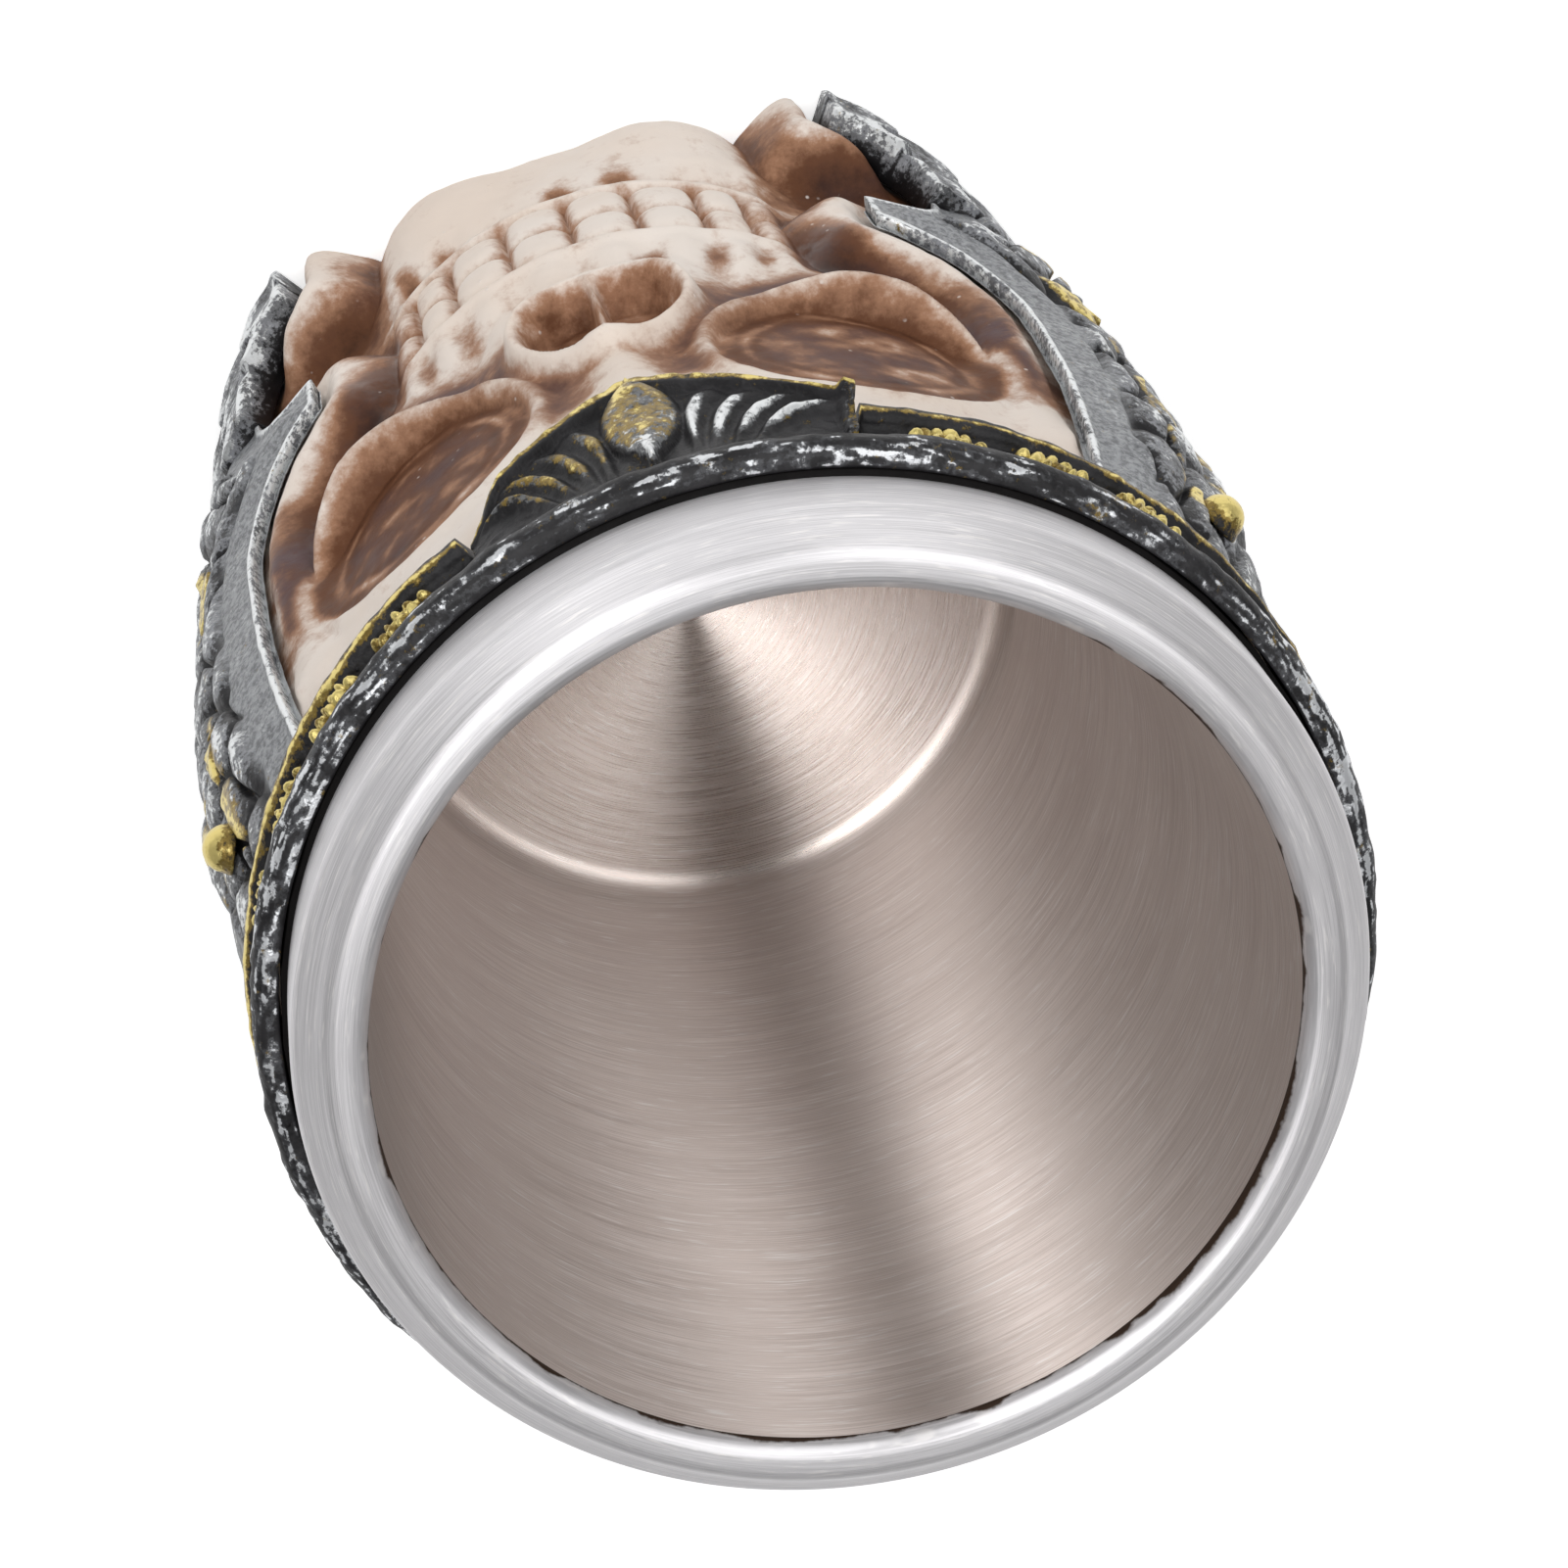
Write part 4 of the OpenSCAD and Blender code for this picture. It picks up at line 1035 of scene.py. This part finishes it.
def make_palmette():
    """The crest over the brow: a tongue petal in the middle, ribs that fan out and a raised rim."""
    top_z = RESIN_TOP - BEAD_H - FIT_GAP
    x, v = np.meshgrid(np.linspace(-1, 1, PALM_COLUMNS + 1), np.linspace(0, 1, PALM_ROWS + 1))
    edge_z = BAND_Z - PALM_DROP + (PALM_DROP + 2) * np.abs(x) ** 1.15
    z = top_z + (edge_z - top_z) * v
    t = (z - BAND_Z + PALM_DROP - 1.4) / (top_z - BAND_Z + PALM_DROP - 2.4)
    width = 0.21 * np.sqrt(np.clip(1 - np.clip(0.42 - t, 0, None) ** 2 / 0.176, 0.001, 1))
    width = width * np.clip(np.cos(np.pi / 2 * np.clip((t - 0.42) / 0.58, 0, 0.96)), 0.001, 1) ** 0.8
    tongue = 1.6 * np.sqrt(np.clip(1 - (x / width) ** 2, 0, 1)) * smooth(0.0, 0.06, v)
    fan = np.abs(x) / (0.5 + 0.5 * v) + 0.1 * np.sin(np.pi * v)
    ribs = np.zeros_like(x)
    for place in (0.42, 0.62, 0.82, 1.02):
        ribs = np.maximum(ribs, crest(fan - place, 0.065))
    ribs = ribs * np.sqrt(dome((v - 0.48) / 0.52)) * smooth(0.16, 0.24, np.abs(x))
    rim = smooth(0.88, 0.93, v) + 0.9 * smooth(0.92, 0.96, -x)
    fall = smooth(1.02, 0.7, x)
    relief = np.maximum(np.maximum(tongue, 1.1 * ribs), rim)
    face = BROW_R + FIT_GAP + 1.0 + (PALM_OUT - 2) * v * v * fall + (0.25 + 0.75 * fall) * relief
    grit = flat_lumps(x * 20, v * 12, 1.1, 81)
    face = np.minimum(face + 0.1 * grit, (FACE_Y - 0.2) / np.cos(np.radians(x * PALM_AZ)))
    streak = flat_lumps(x * 26, v * 2.5, 1.0, 82)
    on_tongue = smooth(0.5, 1.1, tongue)
    on_rib = smooth(0.35, 0.8, ribs)
    to_left = smooth(-0.1, 0.25, x)
    raised = -0.35 + 0.95 * on_tongue + 0.2 * streak * on_tongue + on_rib * (1.35 - 0.55 * to_left)
    raised = raised + 0.5 * crest(x, 0.03) * smooth(0.3, 0.05, v) + 0.5 * smooth(0.93, 0.96, -x)
    gold = 0.85 * smooth(0.92, 0.97, v) + on_tongue * (0.5 + 0.35 * streak) * smooth(0.12, 0.35, v)
    gold = gold + 0.5 * on_rib * to_left + 0.35 * smooth(0.95, 0.98, -x)
    gold = np.clip(gold + 0.1 * grit, 0, 1.1) - 0.1
    front = polar(face, x * PALM_AZ, z)
    back = polar(np.full_like(face, BROW_R + FIT_GAP), x * PALM_AZ, z)
    masks = [(key, np.concatenate([values[:1], values, values[-1:]]))
             for key, values in (("raised", np.clip(raised, -0.5, 1.1)), ("gold", gold))]
    obj = grid_sheet("palmette_cast", np.concatenate([back[:1], front, back[-1:]]), masks)
    thicken(obj, 0.25)
    settle(obj, "palmette", PALMETTE_BLACK)


# The steel
def make_cup():
    """The drawn cup: a tapered wall, a coved floor and the same sheet outside."""
    wall_z = CUP_FLOOR + COVE_R
    low_r = MOUTH_R - CUP_TAPER
    inside = [(MOUTH_R, SEAM_Z), (MOUTH_R - 0.01, SEAM_Z - 0.5)]
    inside += [(low_r + (MOUTH_R - low_r) * (z - wall_z) / (SEAM_Z - wall_z), z)
               for z in np.linspace(SEAM_Z - 4, wall_z + 1, 12)]
    inside += arc(low_r - COVE_R, wall_z, COVE_R, 0, -90, 14)
    inside += [(r, CUP_FLOOR) for r in (26, 18, 10, 4, 0.0)]
    outside = [(0.0, CUP_FLOOR - STEEL_T), (low_r - COVE_R, CUP_FLOOR - STEEL_T)]
    outside += arc(low_r - COVE_R, wall_z, COVE_R + STEEL_T, -90, 0, 10)[1:]
    outside += [(MOUTH_R + STEEL_T, SEAM_Z)]
    settle(lathe("cup_drawn", inside + outside), "liner_cup", CUP_STEEL)


def make_rim():
    """The rim: an upright satin band, a flat shoulder and a rolled lip that ends at the seam."""
    wall_top = MUG_H - LIP_OUT_R - 0.4
    outside = [(RIM_R, z) for z in (RESIN_TOP, RESIN_TOP + 0.4, 107.5, 109.5, wall_top)]
    outside += arc(RIM_R - SHOULDER_FILLET, MUG_H - LIP_OUT_R - 0.2, SHOULDER_FILLET, 0, 42, 8)
    outside += [(RIM_R - t, MUG_H - 2.58 + 0.92 * (t - 0.25)) for t in (0.9, 1.4, 1.9)]
    outside += arc(MOUTH_R + 2.3, MUG_H - LIP_ARC, LIP_ARC, 45, 90, 12)
    outside += arc(MOUTH_R + LIP_IN_R, MUG_H - LIP_IN_R, LIP_IN_R, 90, 180, 14)
    inner = [(MOUTH_R + STEEL_T, SEAM_Z)]
    inner += arc(MOUTH_R + LIP_IN_R, MUG_H - LIP_IN_R, LIP_IN_R - STEEL_T, 180, 90, 8)
    inner += [(RIM_R - 3.0, MUG_H - 2.0), (RIM_R - STEEL_T, wall_top), (RIM_R - STEEL_T, RESIN_TOP)]
    settle(lathe("rim_rolled", outside + inner), "rim_ring", RIM_STEEL)


make_skull()
make_bowl()
for sign, word in ((1, "left"), (-1, "right")):
    make_guard(sign, "cheek_plate_" + word, "cheek_guard_" + word, NOTCH_Z + 0.3, BAND_Z - 0.6, False)
    make_guard(sign, "jaw_plate_" + word, "jaw_guard_" + word, FOOT_Z, NOTCH_Z - 0.3, True)
make_studs()
make_band()
make_leaves()
make_palmette()
make_cup()
make_rim()
for hidden_node, stuff in (("base_pad", PAD_FOAM), ("bond_layer", ADHESIVE)):
    node_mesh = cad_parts[hidden_node].data
    node_mesh.materials.clear()
    node_mesh.materials.append(stuff)


# Floor, light and camera
def make_floor():
    """A pale floor that goes over to white away from the mug and keeps its shadow."""
    deselect()
    bpy.ops.mesh.primitive_plane_add(size=4, location=(0, 0, 0))
    floor = bpy.context.active_object
    floor.name = "studio_floor"
    material, tree, shader = new_material("floor_white")
    feed(shader, {"Base Color": blend(grain(tree, 3.0), "EDEDED", "F1F1F1"),
                  "Roughness": 0.9, "Specular IOR Level": 0.1})
    seen = put(tree, "LightPath")
    either = calc("MAXIMUM", seen.outputs["Is Camera Ray"], seen.outputs["Is Glossy Ray"])
    out = put(tree, "VectorMath", {0: object_place(tree)}, operation="LENGTH").outputs["Value"]
    share = times(either, ramp(out, 0.3, 1.1, 0.5, 1.0))
    glow = put(tree, "Emission", {"Color": (1, 1, 1, 1), "Strength": share})
    both = put(tree, "AddShader", {0: shader.outputs[0], 1: glow.outputs[0]})
    feed(tree.nodes["Material Output"], {"Surface": both.outputs[0]})
    floor.data.materials.append(material)


def make_softbox(name, place, lean, length, width, power):
    """A long box over the mug; lean turns its far end to +X."""
    light = bpy.data.lights.new(name, "AREA")
    light.shape = "RECTANGLE"
    light.size, light.size_y, light.energy = length, width, power
    obj = bpy.data.objects.new(name, light)
    bpy.context.collection.objects.link(obj)
    obj.location = place
    back = (Vector(place) - Vector((0, 0, 0.08))).normalized()
    line = Vector((lean, 1, 0))
    along = (line - back * back.dot(line)).normalized()
    obj.rotation_euler = Matrix((along, back.cross(along), back)).transposed().to_euler()


def make_world():
    """A dim even room that the camera sees as white."""
    world = bpy.data.worlds.new("studio")
    bpy.context.scene.world = world
    world.use_nodes = True
    tree = world.node_tree
    seen = put(tree, "LightPath").outputs["Is Camera Ray"]
    feed(tree.nodes["Background"], {"Color": (1, 1, 1, 1), "Strength": ramp(seen, 0.0, 1.0, 0.18, 1.0)})


def make_camera():
    """The camera that was fitted to the steel's circles, for a square frame."""
    photo_px, focal_px, sensor_mm = 1601, 3800, 36
    data = bpy.data.cameras.new("photo_camera")
    obj = bpy.data.objects.new("photo_camera", data)
    bpy.context.collection.objects.link(obj)
    right = Vector((-0.94868, 0.28148, 0.1442))
    up = Vector((-0.31571, -0.8686, -0.3819))
    forward = Vector((-0.01781, 0.40781, -0.9129))
    pose = Matrix((right, up, -forward)).transposed().to_4x4()
    pose.translation = Vector((3.451, -137.03, 371.48)) * MM
    obj.matrix_world = pose
    data.sensor_width = sensor_mm
    data.lens = sensor_mm * focal_px / photo_px
    data.clip_start = 0.01
    bpy.context.scene.camera = obj


make_floor()
make_world()
make_softbox("softbox_left", (0.21, -0.31, 0.84), -0.1, 1.4, 0.28, 5.4)
make_softbox("softbox_right", (-0.37, -0.28, 0.82), 0.26, 1.4, 0.4, 4.3)
make_camera()
bpy.context.scene.view_settings.view_transform = "Standard"
